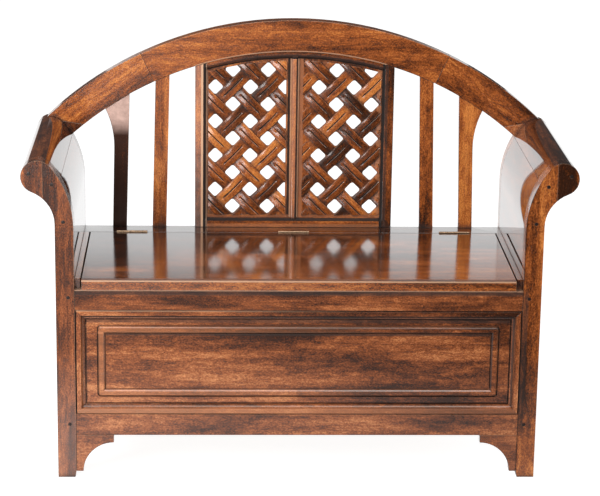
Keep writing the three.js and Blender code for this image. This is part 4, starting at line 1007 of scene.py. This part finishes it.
def strap_plan(side, ends, low, high):
    """Centre, lean and tone of each strap that crosses a panel between its ends in X and two heights."""
    reach = weave_reach(low, high)
    plan = []
    for shift in range(-reach, reach + 1):
        if shift % 2 == 0:
            continue
        centre = Vector((HOLE_X[side], 0, HOLE_Z + shift * WEAVE_STEP))
        for lean in (1, -1):
            heights = [centre.z + lean * (x - centre.x) for x in ends]
            if max(heights) < low - STRAP_HALF * 2 or min(heights) > high + STRAP_HALF * 2:
                continue
            plan.append((centre, lean, STRAP_TONES[len(plan) % len(STRAP_TONES)]))
    return plan


def hole_plan(side, ends, low, high):
    """Centre of each square hole of a panel."""
    reach = weave_reach(low, high)
    plan = []
    for column in range(-reach, reach + 1):
        for row in range(-reach, reach + 1):
            centre = Vector((HOLE_X[side] + column * WEAVE_STEP, 0, HOLE_Z + row * WEAVE_STEP))
            inside = ends[0] < centre.x < ends[1] and low < centre.z < high
            if (column + row) % 2 == 0 and inside:
                plan.append(centre)
    return plan


def lattice(side):
    """One woven lattice panel with fine straps."""
    node = f"lattice_{side}"
    low_corner, high_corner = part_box(node)
    ends = (low_corner.x, high_corner.x)
    low = low_corner.z
    high = ARCH_CENTRE_Z + ARCH_RADIUS
    front = low_corner.y
    sign = 1 if side == "right" else -1
    near, far = sorted(sign * x for x in ends)

    def flip(points):
        return [(sign * x, z) for x, z in points]

    def hole(let_in, behind=0.0):
        return opening_outline(near + RIM_AT_MUNTIN + behind - let_in, far - RIM_AT_STILE + let_in,
                               low + RIM_AT_RAIL - let_in, ARCH_RADIUS - RIM_AT_ARCH + let_in)

    mesh = bmesh.new()
    layers = {"grain": mesh.verts.layers.float_vector.new("grain")}
    for name in ("tone", "groove", "sunk"):
        layers[name] = mesh.verts.layers.float.new(name)
    for centre, lean, tone in strap_plan(side, ends, low, high):
        add_strap(mesh, layers, centre, lean, high - low, front, tone)
    for centre in hole_plan(side, ends, low, high):
        for lean_u, lean_v in ((1, 1), (1, -1), (-1, 1), (-1, -1)):
            fillet(mesh, layers, centre, lean_u, lean_v, front)
    clip(mesh, flip(hole(STRAP_LET_IN)))
    outer = flip(opening_outline(near, far, low, ARCH_RADIUS))
    inner = flip(hole(0.0, RIM_BEHIND[side]))
    rim(mesh, layers, outer, inner, front + RIM_SETBACK, front + LATTICE_THICKNESS)
    bmesh.ops.recalc_face_normals(mesh, faces=mesh.faces[:])
    piece = object_of(mesh, f"woven_panel_{side}", f"woven_{side}")
    place = (0.0, 0.0, sign * WEAVE_PLACE)
    piece.data.materials.append(wood(f"weave_{side}", "X", place, WEAVE_TONE, WARM, WOVEN, True))
    smooth_faces(piece)
    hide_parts(node)
    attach(piece, "bench")


# Peg ends

def peg_end(mesh, x, z, front):
    """The domed end of one peg."""
    rings = []
    for radius, depth in PEG_SECTIONS:
        ring = []
        for step in range(PEG_SIDES):
            angle = 2 * math.pi * step / PEG_SIDES
            aside = x + radius * math.cos(angle)
            ring.append(mesh.verts.new((aside, front + depth, z + radius * math.sin(angle))))
        rings.append(ring)
    for first, second in zip(rings, rings[1:]):
        band(mesh, first, second)
    mesh.faces.new(rings[0])
    mesh.faces.new(rings[-1])


def peg_ends():
    """Dark domed ends of the pegs in the front legs."""
    mesh = bmesh.new()
    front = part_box("front_leg_right")[0].y
    for sign in (1, -1):
        for x, z in PEG_PLACES:
            peg_end(mesh, sign * x, z, front)
    bmesh.ops.recalc_face_normals(mesh, faces=mesh.faces[:])
    piece = object_of(mesh, "peg_ends", "peg_ends")
    piece.data.materials.append(peg_material())
    smooth_faces(piece)
    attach(piece, "bench")


def peg_material():
    """End grain of a dark peg: fine pores in a dark brown."""
    material, make, shader = blank_material("peg_end_grain")
    vector = make.add("ShaderNodeTexCoord").outputs["Object"]
    pores = make.noise(vector, PEG_PORE_SCALE, PEG_PORE_DETAIL)
    dark = linear(PEG_COLOUR)
    stops = zip(PEG_PORE_STOPS, (darker(dark, PEG_PORE_SHARE), dark))
    make.join(make.ramp(pores, list(stops)), shader.inputs["Base Color"])
    make.join(make.remap(pores, *PEG_ROUGHNESS), shader.inputs["Roughness"])
    shader.inputs["Coat Weight"].default_value = PEG_COAT
    return material


# Floor, light and camera

def sheet(name, corners):
    """A flat stage object with the given corners."""
    mesh = bmesh.new()
    mesh.faces.new([mesh.verts.new(corner) for corner in corners])
    bmesh.ops.subdivide_edges(mesh, edges=mesh.edges[:], cuts=SHEET_CUTS, use_grid_fill=True)
    flat = object_of(mesh, name, name)
    return flat


def floor():
    """A white floor that takes the shadow, and that gloss sees fade to dark in front of the bench."""
    half = FLOOR_HALF
    low = -FLOOR_DROP
    corners = ((-half, -half, low), (half, -half, low), (half, half, low), (-half, half, low))
    plane = sheet("floor", corners)
    material, make, shader = blank_material("pale_floor")
    place = make.split(make.add("ShaderNodeNewGeometry").outputs["Position"])
    across = place["X"]
    far = make.remap(across, -FLOOR_SIDE_X, FLOOR_SIDE_X, FRONT_SEEN_LEFT, FRONT_SEEN_RIGHT)
    close = make.remap(across, -FLOOR_SIDE_X, FLOOR_SIDE_X, 1.0, NEAR_SEEN_RIGHT)
    near = make.remap(place["Y"], FLOOR_FAR_Y, FLOOR_NEAR_Y)
    beside = make.remap(place["Y"], FLOOR_NEAR_Y, 0.0)
    close = make.math("MAXIMUM", close, beside)
    seen = make.math("ADD", far, make.math("MULTIPLY", near, make.math("SUBTRACT", close, far)))
    path = make.add("ShaderNodeLightPath")
    glossy = path.outputs["Is Glossy Ray"]
    straight = make.math("MAXIMUM", path.outputs["Is Camera Ray"], path.outputs["Is Transmission Ray"])
    shown = make.math("MULTIPLY", straight, FLOOR_GLOW)
    glow = make.math("ADD", make.math("MULTIPLY", glossy, seen), shown)
    make.join(make.blend(glossy, FLOOR_COLOUR, BLACK), shader.inputs["Base Color"])
    make.join(glow, shader.inputs["Emission Strength"])
    shader.inputs["Emission Color"].default_value = WHITE
    shader.inputs["Roughness"].default_value = FLOOR_ROUGH
    shader.inputs["Specular IOR Level"].default_value = 0.0
    plane.data.materials.append(material)


def card():
    """A white wall behind the bench that shows in the lid, arms and rolls, and fades upwards."""
    ends = ((-CARD_HALF, 0), (CARD_HALF, 0), (CARD_HALF, CARD_TOP), (-CARD_HALF, CARD_TOP))
    wall = sheet("card", [(x, CARD_Y, z) for x, z in ends])
    for kind in ("camera", "diffuse", "transmission", "shadow", "volume_scatter"):
        setattr(wall, f"visible_{kind}", False)
    material, make, shader = blank_material("white_card")
    make.tree.nodes.remove(shader)
    place = make.split(make.add("ShaderNodeNewGeometry").outputs["Position"])
    height = place["Z"]
    faded = make.remap(height, CARD_FADE_LOW, CARD_FADE_HIGH, 1.0, CARD_FAINT)
    cut = make.remap(height, CARD_FADE_HIGH, CARD_DARK_HIGH, 1.0, DARK_SEEN / CARD_FAINT)
    outside = make.math("GREATER_THAN", make.math("ABSOLUTE", place["X"]), CARD_SIDE_X)
    low = make.remap(height, CARD_SIDE_TOP, CARD_SIDE_TOP + CARD_SIDE_SOFT, 1.0, DARK_SEEN)
    inside = make.math("SUBTRACT", 1.0, outside)
    middle = make.math("MULTIPLY", make.math("MULTIPLY", faded, cut), inside)
    light = make.add("ShaderNodeEmission")
    make.join(make.math("ADD", middle, make.math("MULTIPLY", outside, low)), light.inputs["Strength"])
    make.join(light.outputs[0], make.tree.nodes["Material Output"].inputs["Surface"])
    wall.data.materials.append(material)


def surround():
    """A white room to look at, which gives soft light and which gloss sees as dark."""
    world = bpy.data.worlds.new("studio")
    bpy.context.scene.world = world
    world.use_nodes = True
    make = Shader(world.node_tree)
    back = make.tree.nodes["Background"]
    path = make.add("ShaderNodeLightPath")
    where = make.split(make.add("ShaderNodeTexCoord").outputs["Generated"])
    seen = make.remap(where["Z"], *SKY_RISE, DARK_SEEN, TOP_SEEN)
    glossy = path.outputs["Is Glossy Ray"]
    straight = make.math("MAXIMUM", path.outputs["Is Camera Ray"], path.outputs["Is Transmission Ray"])
    diffuse = make.math("SUBTRACT", 1.0, make.math("MAXIMUM", glossy, straight))
    strength = make.math("ADD", make.math("MULTIPLY", glossy, seen), straight)
    strength = make.math("ADD", strength, make.math("MULTIPLY", diffuse, WORLD_FILL))
    back.inputs["Color"].default_value = WHITE
    make.join(strength, back.inputs["Strength"])


def lamp(name, place, size, power):
    """A soft lamp that points at the bench."""
    data = bpy.data.lights.new(name, "AREA")
    data.shape = "RECTANGLE"
    data.size, data.size_y = size
    data.energy = power
    light = bpy.data.objects.new(name, data)
    light.location = place
    light.rotation_euler = (Vector(LIGHT_AIM) - Vector(place)).to_track_quat("-Z", "Y").to_euler()
    bpy.context.scene.collection.objects.link(light)


def camera():
    """The photograph's camera: yaw to the right, pitch down, then roll."""
    yaw, pitch, roll = CAMERA_YAW, CAMERA_PITCH, CAMERA_ROLL
    ahead = Vector((math.sin(yaw), math.cos(yaw), 0))
    right = Vector((math.cos(yaw), -math.sin(yaw), 0))
    up = Vector((0, 0, 1))
    forward = ahead * math.cos(pitch) - up * math.sin(pitch)
    level = up * math.cos(pitch) + ahead * math.sin(pitch)
    side = right * math.cos(roll) + level * math.sin(roll)
    top = level * math.cos(roll) - right * math.sin(roll)
    data = bpy.data.cameras.new("photo_camera")
    data.lens = CAMERA_LENS
    data.sensor_width = SENSOR_WIDTH
    data.clip_start = CLIP_NEAR
    data.clip_end = CLIP_FAR
    eye = bpy.data.objects.new("photo_camera", data)
    turned = Matrix((side, top, -forward)).transposed().to_4x4()
    eye.matrix_world = Matrix.Translation(Vector(CAMERA_PLACE)) @ turned
    bpy.context.scene.collection.objects.link(eye)
    bpy.context.scene.camera = eye


camera()
surround()
floor()
card()
lamp("key", KEY_PLACE, KEY_SIZE, KEY_POWER)
lamp("low", LOW_PLACE, LOW_SIZE, LOW_POWER)
lamp("top", TOP_PLACE, TOP_SIZE, TOP_POWER)
lamp("side", SIDE_PLACE, SIDE_SIZE, SIDE_POWER)
dress_boards()
lattice("left")
lattice("right")
peg_ends()
bpy.context.scene.view_settings.view_transform = "Standard"
